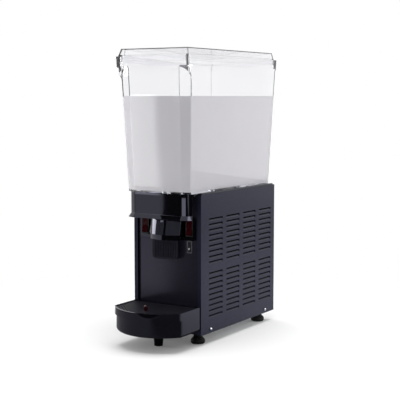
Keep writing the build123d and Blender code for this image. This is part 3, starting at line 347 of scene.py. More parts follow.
# Stoved powder coat on steel sheet: satin black with a faint orange peel that softens reflections
POWDER_COAT = Finish(
    "satin_powder_coat", "black_paint", "#1a1b28", "#1e2030", roughness=0.26, spread=0.04, grain_size=1.6,
    relief=0.004, grain=Grain.PEEL, ior=1.36, sheen_tint="#dfe3ff")
# The same coat on the louvred sides, with painted shade down in the louvres
LOUVRED_COAT = SlottedFinish(**{**vars(POWDER_COAT), "name": "louvred_powder_coat"}, face=95.0)
# Smooth powder coat of the front sheet: nearly the same black, a little glossier
SMOOTH_COAT = Finish(
    "smooth_powder_coat", "black_paint", "#1c1b24", "#201f29", roughness=0.17, spread=0.03, grain_size=2.0,
    relief=0.003, grain=Grain.PEEL, sheen_tint="#e4dfff")
# Polished ABS moulding: deep black that mirrors the studio with crisp edges
GLOSS_ABS = Finish(
    "gloss_moulded_abs", "black_plastic", "#08080b", "#0a0a0e", roughness=0.035, spread=0.01, grain_size=2.5,
    relief=0.0, ior=1.53, sheen_tint="#e1e1ff")
# Textured ABS moulding of the push pad: black and dull
TEXTURED_ABS = Finish(
    "textured_abs", "black_plastic", "#0d0d13", "#14141c", roughness=0.46, spread=0.06, grain_size=0.8,
    relief=0.006, ior=1.42, sheen_tint="#dcdcff")
# Textured ABS moulding of the grille: duller from washing, with painted shade down in its slots
WASHED_ABS = SlottedFinish(
    "washed_abs", "black_plastic", "#0a0a10", "#121218", roughness=0.54, spread=0.06, grain_size=0.8,
    relief=0.006, ior=1.36, sheen_tint="#dcdcff", axis=Axis.Z, unshaded=Axis.Z, face=92.0, dark_from=0.4,
    dark_to=1.3)
# Clear polycarbonate moulding: faint lavender tint, darker along its edges
POLYCARBONATE = ClearFinish(
    "clear_polycarbonate", "clear_plastic", "#fefeff", "#7f82a0", roughness=0.012, spread=0.004,
    grain_size=9.0, relief=0.0, ior=1.585)
# The same plastic in the lid: its sloped top turns part of the light from above aside
LID_POLYCARBONATE = replace(POLYCARBONATE, name="clear_lid_polycarbonate", passed="#c8c8cc")
# Milk drink: white with a cool, slightly uneven body
MILK_DRINK = Finish(
    "milk_drink", "white_plastic", "#eeecef", "#f1eff2", roughness=0.30, spread=0.03, grain_size=40.0,
    relief=0.02, ior=1.35)
# Nylon switch housing: smooth mid grey
GREY_NYLON = Finish(
    "grey_nylon", "switch_grey", "#4a4a52", "#55555e", roughness=0.34, spread=0.05, grain_size=0.9,
    relief=0.005)
# Nylon switch housing and rocker: smooth black
BLACK_NYLON = Finish(
    "black_nylon", "switch_black", "#0c0c0f", "#131316", roughness=0.28, spread=0.05, grain_size=0.9,
    relief=0.004)
# Red tinted polycarbonate of rockers and float: deep red with a wet gloss
RED_POLYCARBONATE = Finish(
    "red_polycarbonate", "red_plastic", "#270306", "#300408", roughness=0.09, spread=0.03, grain_size=1.2,
    relief=0.003, ior=1.4)
# Vulcanised rubber: dull black with a dusty bloom
RUBBER = Finish(
    "vulcanised_rubber", "rubber", "#08080a", "#101012", roughness=0.62, spread=0.08, grain_size=0.7,
    relief=0.012, ior=1.40)
# Food grade silicone of seals: pale and waxy
SILICONE = Finish(
    "food_silicone", "white_plastic", "#c9c7c2", "#d6d4cf", roughness=0.48, spread=0.05, grain_size=1.0,
    relief=0.006, ior=1.41)
# Belt-ground stainless steel: bright with fine lines
STAINLESS = Finish(
    "brushed_stainless", "stainless", "#b9bcc0", "#d3d6da", roughness=0.28, spread=0.07, grain_size=0.4,
    relief=0.003, grain=Grain.BRUSHED, metallic=1.0)
# Bright zinc plate on screws: hard small highlights
BRIGHT_ZINC = Finish(
    "bright_zinc_plate", "screw_steel", "#cfd2d6", "#e2e5e8", roughness=0.22, spread=0.06, grain_size=0.3,
    relief=0.002, metallic=1.0)
# Hot-dip galvanised sheet: dull grey with crystal spangle
GALVANISED = Finish(
    "galvanised_sheet", "zinc_sheet", "#8f9498", "#b4b9bd", roughness=0.42, spread=0.10, grain_size=9.0,
    relief=0.004, grain=Grain.SPANGLE, metallic=1.0)
# Stove enamel on the compressor: thick semi-gloss black
STOVE_ENAMEL = Finish(
    "stove_enamel", "compressor_black", "#0f0f10", "#17171a", roughness=0.32, spread=0.06, grain_size=3.0,
    relief=0.02, grain=Grain.PEEL)
# Rolled aluminium fins: soft grey metal with rolling lines
FIN_ALUMINIUM = Finish(
    "rolled_aluminium", "fin_aluminium", "#a9acb0", "#c4c7ca", roughness=0.34, spread=0.08, grain_size=0.5,
    relief=0.003, grain=Grain.BRUSHED, metallic=1.0)
# Zinc cast and plated motor cans: dull grey metal
MOTOR_CAN = Finish(
    "plated_motor_can", "motor_can", "#84888c", "#9da1a5", roughness=0.40, spread=0.08, grain_size=1.5,
    relief=0.006, metallic=1.0)
# Drawn copper: warm metal with faint tarnish
COPPER = Finish(
    "drawn_copper", "drier_copper", "#b06a48", "#8f5236", roughness=0.30, spread=0.10, grain_size=6.0,
    relief=0.004, metallic=1.0)
# Moulded acetal of paddle, fan and rocker mark: plain white, slightly waxy
WHITE_ACETAL = Finish(
    "white_acetal", "white_plastic", "#dcdcd8", "#e6e6e2", roughness=0.40, spread=0.05, grain_size=1.0,
    relief=0.005, ior=1.48)


def edge_key(first: Vector, second: Vector) -> EdgeKey:
    """Name an edge by its rounded ends, so that split copies of it have one name."""
    return frozenset(tuple(round(value / KEY_STEP) for value in end) for end in (first, second))


def creases(mesh: bpy.types.Mesh) -> set[EdgeKey]:
    """Find the edges at which a CAD mesh's own normals break.

    Args:
        mesh: CAD mesh, still split along its faces.

    Returns:
        Names of the sharp edges.
    """
    normals = mesh.corner_normals
    meeting: dict[EdgeKey, list[Vector]] = {}
    for polygon in mesh.polygons:
        corners = list(polygon.loop_indices)
        for corner, after in zip(corners, corners[1:] + corners[:1]):
            ends = [mesh.vertices[mesh.loops[n].vertex_index].co for n in (corner, after)]
            between = normals[corner].vector + normals[after].vector
            meeting.setdefault(edge_key(*ends), []).append(between.normalized())
    limit = math.cos(math.radians(CREASE_ANGLE))
    return {key for key, sides in meeting.items() if len(sides) == 2 and sides[0].dot(sides[1]) < limit}


def rounded_copy(node: str, radius: float, segments: int, upright: float) -> bpy.types.Mesh:
    """Copy a CAD node as a welded mesh with rounded creases and even shading.

    Args:
        node: Name of the CAD node.
        radius: Edge radius in millimetres.
        segments: Faces across each rounded edge.
        upright: Radius of upright edges.

    Returns:
        A plain mesh.
    """
    mesh = frame["nodes"][node].data.copy()
    sharp = creases(mesh)
    mesh.attributes.remove(mesh.attributes["custom_normal"])
    bm = bmesh.new()
    bm.from_mesh(mesh)
    bmesh.ops.remove_doubles(bm, verts=bm.verts, dist=WELD)
    for edge in bm.edges:
        edge.seam = edge_key(edge.verts[0].co, edge.verts[1].co) in sharp
    bmesh.ops.dissolve_limit(bm, angle_limit=math.radians(FLAT_ANGLE), verts=bm.verts, edges=bm.edges,
                             delimit={"SEAM"})
    weight = bm.edges.layers.float.new("bevel_weight_edge")
    for edge in bm.edges:
        first, second = (vert.co for vert in edge.verts)
        stands = abs(first.z - second.z) > UPRIGHT_SHARE * (first - second).length
        edge[weight] = edge.seam * (upright if stands else radius) / max(upright, radius)
        edge.smooth = not edge.seam
        edge.seam = False
    for face in bm.faces:
        face.smooth = True
    bm.to_mesh(mesh)
    bm.free()
    holder = add_object("rounding", mesh)
    bevel = holder.modifiers.new("edges", "BEVEL")
    bevel.width = max(upright, radius) * MM
    bevel.segments = segments
    bevel.limit_method = "WEIGHT"
    bevel.harden_normals = True
    return applied(holder)


def applied(holder: bpy.types.Object) -> bpy.types.Mesh:
    """Turn an object with modifiers into a plain mesh and remove the object.

    Args:
        holder: Object that is used up.

    Returns:
        The evaluated mesh.
    """
    graph = bpy.context.evaluated_depsgraph_get()
    mesh = bpy.data.meshes.new_from_object(holder.evaluated_get(graph), depsgraph=graph)
    bpy.data.objects.remove(holder)
    return mesh


def flat_mesh(name: str, corners: Sequence[Point]) -> bpy.types.Mesh:
    """Make a mesh of one flat face.

    Args:
        name: Name of the mesh.
        corners: Its corners in order.

    Returns:
        The mesh.
    """
    mesh = bpy.data.meshes.new(name)
    mesh.from_pydata(corners, [], [list(range(len(corners)))])
    return mesh


def full_turn(steps: int) -> list[float]:
    """List evenly spaced angles round a circle, in radians."""
    return [2 * math.pi * step / steps for step in range(steps)]


def join_rows(bm: bmesh.types.BMesh, lower: Row, upper: Row) -> None:
    """Join two closed rows of equal length with four-sided faces.

    Args:
        bm: Shape that gets the faces.
        lower: One row.
        upper: The other row.
    """
    for n in range(len(lower)):
        after = (n + 1) % len(lower)
        bm.faces.new((lower[n], lower[after], upper[after], upper[n]))


def closed_mesh(bm: bmesh.types.BMesh, name: str) -> bpy.types.Mesh:
    """Turn the faces of a closed shape outwards and keep it as a plain mesh.

    Args:
        bm: Shape that is used up.
        name: Name of the mesh.

    Returns:
        The mesh.
    """
    bmesh.ops.recalc_face_normals(bm, faces=bm.faces)
    mesh = bpy.data.meshes.new(name)
    bm.to_mesh(mesh)
    bm.free()
    return mesh


def grown(tree: bpy.types.GeometryNodeTree, points: Sequence[Vector], values: NodeInputs) -> bpy.types.Mesh:
    """Run a geometry node tree on bare points and keep the result as a plain mesh.

    Args:
        tree: The node tree, with named inputs.
        points: Points that go in.
        values: Values of its inputs, by name.

    Returns:
        The mesh that comes out.
    """
    start = bpy.data.meshes.new(tree.name)
    start.from_pydata(points, [], [])
    holder = add_object("growing", start)
    nodes = holder.modifiers.new("growing", "NODES")
    nodes.node_group = tree
    for item in tree.interface.items_tree:
        if item.item_type == "SOCKET" and item.in_out == "INPUT" and item.name in values:
            nodes[item.identifier] = values[item.name]
    return applied(holder)


def tree_with_inputs(name: str, inputs: Sequence[tuple[str, str]]) -> bpy.types.GeometryNodeTree:
    """Start a geometry node tree with geometry in and out and named inputs.

    Args:
        name: Name of the tree.
        inputs: Name and socket type of each input after the geometry.

    Returns:
        The tree, still without nodes.
    """
    tree = bpy.data.node_groups.new(name, "GeometryNodeTree")
    tree.interface.new_socket("Geometry", in_out="INPUT", socket_type="NodeSocketGeometry")
    for label, kind in inputs:
        tree.interface.new_socket(label, in_out="INPUT", socket_type=kind)
    tree.interface.new_socket("Geometry", in_out="OUTPUT", socket_type="NodeSocketGeometry")
    return tree


def screw_tree() -> bpy.types.GeometryNodeTree:
    """Build the tree that puts a cross-recessed pan head on each point of the side panels.

    Returns:
        The node tree.
    """
    tree = tree_with_inputs("pan_head_screws", [
        ("Head Radius", "NodeSocketFloat"), ("Crown Radius", "NodeSocketFloat"),
        ("Head Height", "NodeSocketFloat"), ("Head Sides", "NodeSocketInt"),
        ("Recess Width", "NodeSocketFloat"), ("Finish", "NodeSocketMaterial")])
    given = add_node(tree, "NodeGroupInput").outputs
    radius, height, slit = given["Head Radius"], given["Head Height"], given["Recess Width"]
    recessed = add_node(tree, "GeometryNodeMeshCone", {
        "Vertices": given["Head Sides"], "Side Segments": 1, "Radius Top": given["Crown Radius"],
        "Radius Bottom": radius, "Depth": height}).outputs["Mesh"]
    lifted = add_node(tree, "ShaderNodeCombineXYZ", {2: height}).outputs[0]
    for length, width in ((radius, slit), (slit, radius)):
        size = add_node(tree, "ShaderNodeCombineXYZ", {0: length, 1: width, 2: height}).outputs[0]
        bar = add_node(tree, "GeometryNodeMeshCube", {"Size": size}).outputs["Mesh"]
        raised = add_node(tree, "GeometryNodeTransform", {"Geometry": bar, "Translation": lifted})
        cut = add_node(tree, "GeometryNodeMeshBoolean", {"Mesh 1": recessed}, operation="DIFFERENCE")
        tree.links.new(raised.outputs[0], cut.inputs["Mesh 2"])
        recessed = cut.outputs["Mesh"]
    position = add_node(tree, "GeometryNodeInputPosition").outputs[0]
    across = add_node(tree, "ShaderNodeSeparateXYZ", {0: position}).outputs["X"]
    side = add_node(tree, "ShaderNodeMath", {0: across}, operation="SIGN").outputs[0]
    turn = add_node(tree, "ShaderNodeMath", {0: side, 1: math.pi / 2}, operation="MULTIPLY").outputs[0]
    facing = add_node(tree, "ShaderNodeCombineXYZ", {1: turn}).outputs[0]
    placed = add_node(tree, "GeometryNodeInstanceOnPoints", {
        "Points": given["Geometry"], "Instance": recessed, "Rotation": facing}).outputs[0]
    real = add_node(tree, "GeometryNodeRealizeInstances", {0: placed}).outputs[0]
    dressed = add_node(tree, "GeometryNodeSetMaterial", {"Geometry": real, "Material": given["Finish"]})
    add_node(tree, "NodeGroupOutput", {0: dressed.outputs[0]})
    return tree


class SubAssembly:
    """A group of pieces that belong together on the machine."""

    def note(self, piece: bpy.types.Object, words: str) -> None:
        """Report one finished piece."""
        LOG.info("%s: %s, %s", type(self).__name__, piece.name, words)

    def dress(self, nodes: Sequence[str], finish: Finish) -> None:
        """Give CAD nodes that keep their shape a finish.

        Args:
            nodes: Names of the CAD nodes.
            finish: Their material.
        """
        for node in nodes:
            shown = frame["nodes"][node]
            shown.data.materials.clear()
            shown.data.materials.append(finish.material())
            self.note(shown, finish.name)

    def adopt(self, name: str, mesh: bpy.types.Mesh, finish: Finish, body: str,
              stands_for: Sequence[str] = ()) -> bpy.types.Object:
        """Make a finished mesh a piece of the machine.

        Args:
            name: Name of the piece.
            mesh: Its mesh, in place.
            finish: Its material.
            body: CAD body that carries it.
            stands_for: CAD nodes that it is shown instead of.

        Returns:
            The new object.
        """
        mesh.materials.clear()
        mesh.materials.append(finish.material())
        piece = add_object(name, mesh)
        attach(piece, body)
        if stands_for:
            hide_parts(*stands_for)
        self.note(piece, finish.name)
        return piece

    def soften(self, node: str, name: str, finish: Finish, radius: float, segments: int = EDGE_STEPS,
               upright: float | None = None) -> bpy.types.Object:
        """Show a CAD node with its sharp edges rounded, as the real moulding or sheet has them.

        Args:
            node: CAD node that is copied and stood for.
            name: Name of the rounded piece.
            finish: Its material.
            radius: Edge radius in millimetres.
            segments: Faces across each rounded edge.
            upright: Radius of upright edges, where it differs.

        Returns:
            The rounded piece.
        """
        mesh = rounded_copy(node, radius, segments, upright or radius)
        return self.adopt(name, mesh, finish, BODY_OF_NODE[node], [node])


@dataclass
class Cabinet(SubAssembly):
    """Louvred cabinet with its feet, hood and base pan; sizes in millimetres."""

    hood_edge: float = 1.0
    hood_crease: float = 2.5
    screw_head: float = 7.0
    screw_crown: float = 4.34
    screw_height: float = 2.0
    screw_sides: int = 32
    screw_recess: float = 1.1

    def build(self) -> None:
        """Make and dress the cabinet's pieces."""
        self.soften("top_deck", "hood_and_deck", GLOSS_ABS, self.hood_edge, FINE_EDGE_STEPS, self.hood_crease)
        self.dress(["right_side_panel", "left_side_panel"], LOUVRED_COAT)
        self.dress(["rear_panel"], POWDER_COAT)
        self.dress(["front_panel"], SMOOTH_COAT)
        self.dress(["chassis"], GALVANISED)
        self.dress([name for name in BODY_OF_NODE if name.startswith("foot_")], RUBBER)
        self.screw_heads()

    def screw_heads(self) -> None:
        """Put a pan head screw over each side screw."""
        low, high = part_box("side_screws")
        inset = self.screw_head / 2 * MM
        out = high.x - self.screw_height / 2 * MM
        middle = (low.z + high.z) / 2
        points = [Vector((x, y, middle)) for x in (-out, out) for y in (low.y + inset, high.y - inset)]
        mesh = grown(screw_tree(), points, {
            "Head Radius": self.screw_head / 2 * MM, "Crown Radius": self.screw_crown / 2 * MM,
            "Head Height": self.screw_height * MM, "Head Sides": self.screw_sides,
            "Recess Width": self.screw_recess * MM, "Finish": BRIGHT_ZINC.material()})
        self.adopt("side_screw_heads", mesh, BRIGHT_ZINC, "cabinet", ["side_screws"])


@dataclass
class Tank(SubAssembly):
    """Clear tank with its lid and drink; sizes in millimetres, angles in degrees."""

    edge: float = 0.8
    wall: float = 3.5
    wetting: float = 0.3
    gap: float = 0.3
    floor: float = 365.3
    base: float = 361.3
    level: float = 584.5
    base_front: float = -154.1
    base_crease: float = 65.3
    base_side: float = 87.4
    base_rear: float = 226.5
    front_draft: float = 3.19
    crease_draft: float = 1.05
    side_draft: float = 2.16
    rear_draft: float = 2.96
    facet_angle: float = 21.8
    drum_hole: float = 65.0
    drum_sides: int = 64
    drum_room: float = 503.0
    meniscus: float = 1.2

    def build(self) -> None:
        """Make and dress tank, lid and drink."""
        self.soften("tank", "clear_tank", POLYCARBONATE, self.edge, FINE_EDGE_STEPS)
        self.soften("lid", "clear_lid", LID_POLYCARBONATE, self.edge, FINE_EDGE_STEPS)
        self.adopt("drink", self.drink_mesh(), MILK_DRINK, "tank")

    def plan(self, level: float, inset: float) -> list[Vector]:
        """Corners of the tank's inside at a height.

        Args:
            level: Height.
            inset: Distance inwards from the tank's outer face.

        Returns:
            Corners in metres, from the front right corner round by the rear.
        """
        rise = level - self.base
        turn = math.radians(self.facet_angle)
        crease = self.base_crease + rise * math.tan(math.radians(self.crease_draft))
        front = self.base_front - rise * math.tan(math.radians(self.front_draft))
        side = self.base_side + rise * math.tan(math.radians(self.side_draft)) - inset
        facet_rear = front + (side - crease) * math.tan(turn) + inset / math.cos(turn)
        rear = self.base_rear + rise * math.tan(math.radians(self.rear_draft)) - inset
        right = [(crease - inset * math.tan(turn / 2), front + inset), (side, facet_rear), (side, rear)]
        corners = right + [(-x, y) for x, y in reversed(right)]
        return [Vector((x, y, level)) * MM for x, y in corners]

    def drink_mesh(self) -> bpy.types.Mesh:
        """Fill the tank to its level, clear of the walls and of the drum's and stirrer's room.

        Returns:
            A closed mesh.
        """
        inset = self.wall - self.wetting
        low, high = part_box("mixer_shaft")
        axis = (low + high) / 2
        radius = self.drum_hole * MM
        bm = bmesh.new()

        def ring(points: Sequence[Vector]) -> Row:
            """Add one closed row of points."""
            return [bm.verts.new(point) for point in points]

        def circle(height: float) -> Row:
            """Add a circle round the drum's axis at a height."""
            return ring([Vector((axis.x + radius * math.cos(t), axis.y + radius * math.sin(t), height * MM))
                         for t in full_turn(self.drum_sides)])

        bottom = ring(self.plan(self.floor + self.gap, inset))
        top = ring(self.plan(self.level + self.meniscus, inset))
        calm = ring(self.plan(self.level, inset + 2 * self.meniscus))
        hole = circle(self.floor + self.gap)
        roof = circle(self.drum_room)
        join_rows(bm, bottom, top)
        join_rows(bm, top, calm)
        join_rows(bm, hole, roof)
        bm.faces.new(calm)
        bm.faces.new(roof)
        rims = [bm.edges.get(ends) for row in (bottom, hole) for ends in zip(row, row[1:] + row[:1])]
        bmesh.ops.triangle_fill(bm, use_beauty=True, edges=rims)
        return closed_mesh(bm, "drink")


@dataclass
class Tap(SubAssembly):
    """Push tap: bowed block, ribbed push pad and the valve inside; sizes in millimetres."""

    block_edge: float = 0.8
    pad_edge: float = 0.45

    def build(self) -> None:
        """Make and dress the tap's pieces."""
        self.soften("tap_body", "tap_block", GLOSS_ABS, self.block_edge, FINE_EDGE_STEPS)
        self.soften("tap_lever", "push_pad", TEXTURED_ABS, self.pad_edge)
        self.dress(["tap_pin"], STAINLESS)
        self.dress(["tap_plunger", "nozzle_seal"], SILICONE)


@dataclass
class Switches(SubAssembly):
    """Switch plate with its three rocker switches; sizes in millimetres."""

    plate_edge: float = 1.0
    housing_edge: float = 0.35
    rocker_edge: float = 0.6
    mark_radius: float = 2.0
    mark_bore: float = 0.9
    mark_sides: int = 32
    mark_share: float = 0.3
    mark_rise: float = 0.12
    probe_start: float = 10.0

    def build(self) -> None:
        """Make and dress the plate, housings and rockers."""
        self.soften("switch_plate", "raised_switch_plate", GLOSS_ABS, self.plate_edge, FINE_EDGE_STEPS)
        for side in ("left", "right"):
            self.soften(f"{side}_switch_housing", f"{side}_switch_frame", BLACK_NYLON, self.housing_edge)
            self.soften(f"{side}_rocker", f"{side}_rocker_cap", RED_POLYCARBONATE, self.rocker_edge)
        self.soften("main_switch_housing", "main_switch_frame", GREY_NYLON, self.housing_edge)
        self.soften("main_rocker", "main_rocker_cap", BLACK_NYLON, self.rocker_edge)
        self.adopt("main_rocker_mark", self.mark_mesh("main_rocker"), WHITE_ACETAL, "main_rocker")

    def mark_mesh(self, node: str) -> bpy.types.Mesh:
        """Make the off ring that is let into the lower half of a rocker.

        Args:
            node: CAD node of the rocker.

        Returns:
            A thin closed ring on the rocker's face.
        """
        low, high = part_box(node)
        height = low.z + self.mark_share * (high.z - low.z)
        start = Vector(((low.x + high.x) / 2, low.y - self.probe_start * MM, height))
        shape = frame["nodes"][node].data
        faces = BVHTree.FromPolygons(
            [vertex.co for vertex in shape.vertices], [list(polygon.vertices) for polygon in shape.polygons])
        spot, facing, _, _ = faces.ray_cast(start, Vector((0, 1, 0)))
        across = Vector((1, 0, 0))
        along = facing.cross(across).normalized()
        bm = bmesh.new()

        def ring(radius: float, rise: float) -> Row:
            """Add a circle round the mark's middle, above or below the face."""
            return [bm.verts.new(spot + radius * MM * (across * math.cos(t) + along * math.sin(t))
                                 + facing * rise * MM) for t in full_turn(self.mark_sides)]

        rows = [ring(self.mark_bore, -self.mark_rise), ring(self.mark_bore, self.mark_rise),
                ring(self.mark_radius, self.mark_rise), ring(self.mark_radius, -self.mark_rise)]
        for row, beside in zip(rows, rows[1:] + rows[:1]):
            join_rows(bm, row, beside)
        return closed_mesh(bm, "off_ring")


@dataclass
class DripTray(SubAssembly):
    """Drip tray with its grille, float and foot; sizes in millimetres."""

    bowl_edge: float = 1.2
    grille_edge: float = 0.45

    def build(self) -> None:
        """Make and dress the tray's pieces."""
        self.soften("drip_tray", "tray_bowl", GLOSS_ABS, self.bowl_edge, FINE_EDGE_STEPS)
        self.soften("drip_grille", "tray_grating", WASHED_ABS, self.grille_edge)
        self.dress(["tray_float"], RED_POLYCARBONATE)
        self.dress(["tray_foot"], GLOSS_ABS)


@dataclass
class CoolingMachinery(SubAssembly):
    """Drum, stirrer and cooling circuit inside tank and cabinet."""

    def build(self) -> None:
        """Dress the inner pieces."""
        self.dress(["evaporator", "mixer_shaft"], STAINLESS)
        self.dress(["tank_gasket"], SILICONE)
        self.dress(["mixing_paddle", "fan_blade"], WHITE_ACETAL)
        self.dress(["gear_motor", "fan_motor"], MOTOR_CAN)
        self.dress(["compressor"], STOVE_ENAMEL)
        self.dress(["compressor_grommets"], RUBBER)
        self.dress(["condenser"], FIN_ALUMINIUM)
        self.dress(["fan_shroud", "fan_bracket"], GALVANISED)
        self.dress(["filter_drier"], COPPER)
        self.dress(["thermostat", "power_inlet"], BLACK_NYLON)


# Felt and card of the studio: matt black, and matt greys that give glossy pieces their soft lights; the matt
# black also paints shade inside the cabinet
MATT_BLACK = "#060608"
GREY_CARD = "#a8a8ac"
DARK_WALL = "#14162a"


class ShownTo(Enum):
    """What a card of the studio shows in."""

    MIRRORS = "reflections alone"
    CLEAR_PIECES = "the view through clear pieces alone"
    CAMERA = "the camera's straight view alone"


@dataclass(frozen=True)
class Fade:
    """A soft change along X from a card's own colour into another; metres."""

    start: float
    end: float
    colour: str


@dataclass(frozen=True, kw_only=True)
class Card:
    """A flat card of the studio, which throws no shadow; metres."""

    name: str
    colour: str = MATT_BLACK
    glow: float = 0.0
    fade: Fade | None = None
    shown: ShownTo = ShownTo.MIRRORS

    def corners(self) -> list[Point]:
        """Give the corners in order, as each kind of card has them."""
        raise NotImplementedError

    def set_up(self) -> None:
        """Make the card and show it where it belongs."""
        mesh = flat_mesh(self.name, self.corners())
        mesh.materials.append(self.material())
        card = add_object(self.name, mesh)
        card.visible_camera = self.shown is ShownTo.CAMERA
        card.visible_glossy = self.shown is ShownTo.MIRRORS
        card.visible_transmission = self.shown is ShownTo.CLEAR_PIECES
        card.visible_diffuse = False
        card.visible_shadow = False

    def material(self) -> bpy.types.Material:
        """Make the card's material: matt, or a lit diffuser where it glows.

        Returns:
            The material.
        """
        made = blank_material(self.name)
        tree = made.node_tree
        if self.glow:
            shader = add_node(tree, "ShaderNodeEmission", {"Strength": self.glow})
        else:
            shader = add_node(tree, "ShaderNodeBsdfDiffuse")
        shader.inputs["Color"].default_value = linear(self.colour)
        if self.fade:
            place = add_node(tree, "ShaderNodeTexCoord").outputs["Object"]
            across = add_node(tree, "ShaderNodeSeparateXYZ", {0: place}).outputs["X"]
            share = add_node(tree, "ShaderNodeMapRange", {
                "Value": across, "From Min": self.fade.start, "From Max": self.fade.end},
                interpolation_type="SMOOTHSTEP").outputs["Result"]
            tone = add_node(tree, "ShaderNodeMix", {
                0: share, 6: linear(self.colour), 7: linear(self.fade.colour)}, data_type="RGBA")
            tree.links.new(tone.outputs[2], shader.inputs["Color"])
        add_node(tree, "ShaderNodeOutputMaterial", {"Surface": shader.outputs[0]})
        return made


@dataclass(frozen=True, kw_only=True)
class LevelCard(Card):
    """A card that lies level, with its outline in plan; metres."""

    outline: tuple[Spot, ...]
    height: float

    def corners(self) -> list[Point]:
        """Give the corners in order."""
        return [(x, y, self.height) for x, y in self.outline]


@dataclass(frozen=True, kw_only=True)
class Screen(Card):
    """An upright card from one spot in plan to another; metres."""

    start: Spot
    end: Spot
    low: float = 0.0
    high: float

    def corners(self) -> list[Point]:
        """Give the corners in order, the lower two first."""
        lower = [(*self.start, self.low), (*self.end, self.low)]
        return lower + [(*self.end, self.high), (*self.start, self.high)]


def oblong(left: float, right: float, front: float, rear: float) -> tuple[Spot, ...]:
    """Give an oblong's corners in plan, from the front left corner round by the right."""
    return (left, front), (right, front), (right, rear), (left, rear)


@dataclass(frozen=True, kw_only=True)
class Softbox:
    """A rectangular lamp; metres and watts.

    One that isn't mirrored shows in no mirror or clear piece. One that hangs overhead shows in no clear
    piece, because clear plastic would count its light twice. One with lights_only lights that piece alone.
    """

    name: str
    place: Point
    aim: Point
    wide: float
    high: float
    power: float
    mirrored: bool = True
    overhead: bool = False
    lights_only: str = ""

    def hang(self) -> None:
        """Hang the lamp and turn it to its aim."""
        box = bpy.data.lights.new(self.name, "AREA")
        box.shape = "RECTANGLE"
        box.size, box.size_y = self.wide, self.high
        box.energy = self.power
        hung = add_object(self.name, box)
        hung.location = self.place
        hung.rotation_euler = (Vector(self.aim) - Vector(self.place)).to_track_quat("-Z", "Y").to_euler()
        hung.visible_camera = False
        hung.visible_glossy = self.mirrored
        hung.visible_transmission = self.mirrored and not self.overhead
        if self.lights_only:
            lit = bpy.data.collections.new(f"lit_by_{self.name}")
            lit.objects.link(bpy.data.objects[self.lights_only])
            hung.light_linking.receiver_collection = lit


# Soft light from above and from the left, a small lamp for the hood, and fills that no mirror shows
SOFTBOXES = (
    Softbox(name="top_softbox", place=(0.1, 0.1, 2.4), aim=(0.0, 0.05, 0.3), wide=2.2, high=2.2, power=60.0,
            overhead=True),
    Softbox(name="hood_card", place=(0.126, -0.394, 0.299), aim=(0.0715, -0.15, 0.333), wide=0.045,
            high=0.058, power=0.0225, lights_only="hood_and_deck"),
    Softbox(name="left_softbox", place=(-5.0, -0.55, 0.84), aim=(0.0, -0.15, 0.33), wide=3.5, high=0.84,
            power=62.0),
    Softbox(name="left_key", place=(-0.55, -0.34, 0.5), aim=(0.0, -0.17, 0.5), wide=0.25, high=0.5,
            power=0.3, mirrored=False),
    Softbox(name="right_key", place=(1.2, 0.9, 0.7), aim=(0.1, 0.1, 0.45), wide=0.6, high=0.6, power=4.2,
            mirrored=False),
    Softbox(name="front_key", place=(0.1, -2.0, 0.9), aim=(0.0, -0.15, 0.48), wide=0.6, high=0.6, power=1.0,
            mirrored=False))

# Black felt and grey card for the mirrors, dark walls for the clear pieces, a lit diffuser, and a black card
# of painted shade inside the cabinet
CARDS = (
    LevelCard(name="felt_cloth", height=1 * MM, outline=(
        (-0.345, -0.62), (-0.99, -1.61), (-1.71, -2.7), (2.2, -2.7), (2.2, -0.62))),
    Screen(name="felt_screen", start=(-1.71, -2.7), end=(2.2, -2.7), high=0.75),
    Screen(name="grey_screen", start=(-1.4, -1.55), end=(1.2, -1.55), low=0.41, high=0.85, colour=GREY_CARD),
    Screen(name="grey_screen_left", start=(-1.4, -1.55), end=(-1.4, -0.75), low=0.41, high=0.85,
           colour=GREY_CARD),
    Screen(name="felt_strip", start=(-0.68, -1.53), end=(-0.42, -1.53), low=0.41, high=0.66),
    Screen(name="felt_high", start=(-1.39, -1.54), end=(-0.3, -1.54), low=0.64, high=0.95),
    Screen(name="felt_corner", start=(-1.3, -0.66), end=(-0.9, -1.2), low=0.08, high=0.3),
    Screen(name="grey_screen_rear", start=(-1.244, 0.145), end=(-1.06, 0.54), low=0.08, high=0.3,
           colour="#b0b0b4"),
    Screen(name="felt_right", start=(1.3, -0.9), end=(1.3, 1.2), high=0.35),
    Screen(name="felt_far", start=(-2.2, -2.68), end=(-1.71, -2.68), low=0.075, high=0.3),
    LevelCard(name="grey_card_near", height=0.4 * MM, outline=oblong(-0.8, 0.8, -0.62, 0.0),
              colour="#88888c", fade=Fade(0.0, 0.12, "#4c4c50")),
    LevelCard(name="grey_card_right", height=0.8 * MM, outline=oblong(0.13, 2.5, -0.2, 3.0),
              colour="#c6c6d0"),
    LevelCard(name="felt_lip", height=0.68, outline=oblong(-0.268, -0.18, -0.4, -0.26)),
    Screen(name="dark_wall_0", start=(-2.12, 2.12), end=(-3.0, 0.5), high=0.95, colour=DARK_WALL,
           shown=ShownTo.CLEAR_PIECES),
    Screen(name="dark_wall_1", start=(-0.98, 2.84), end=(1.0, 2.84), high=0.95, colour=DARK_WALL,
           shown=ShownTo.CLEAR_PIECES),
    # Black card behind the right side's louvres, seen by the camera alone: painted shade inside the cabinet
    Screen(name="felt_inside", start=(0.087, -0.1), end=(0.087, 0.23), low=0.06, high=0.335,
           shown=ShownTo.CAMERA),
    Screen(name="glow_panel", start=(-0.2, -0.335), end=(-0.06, -0.335), low=0.335, high=0.571, colour=WHITE,
           glow=3.2, fade=Fade(-0.135, -0.098, BLACK)))


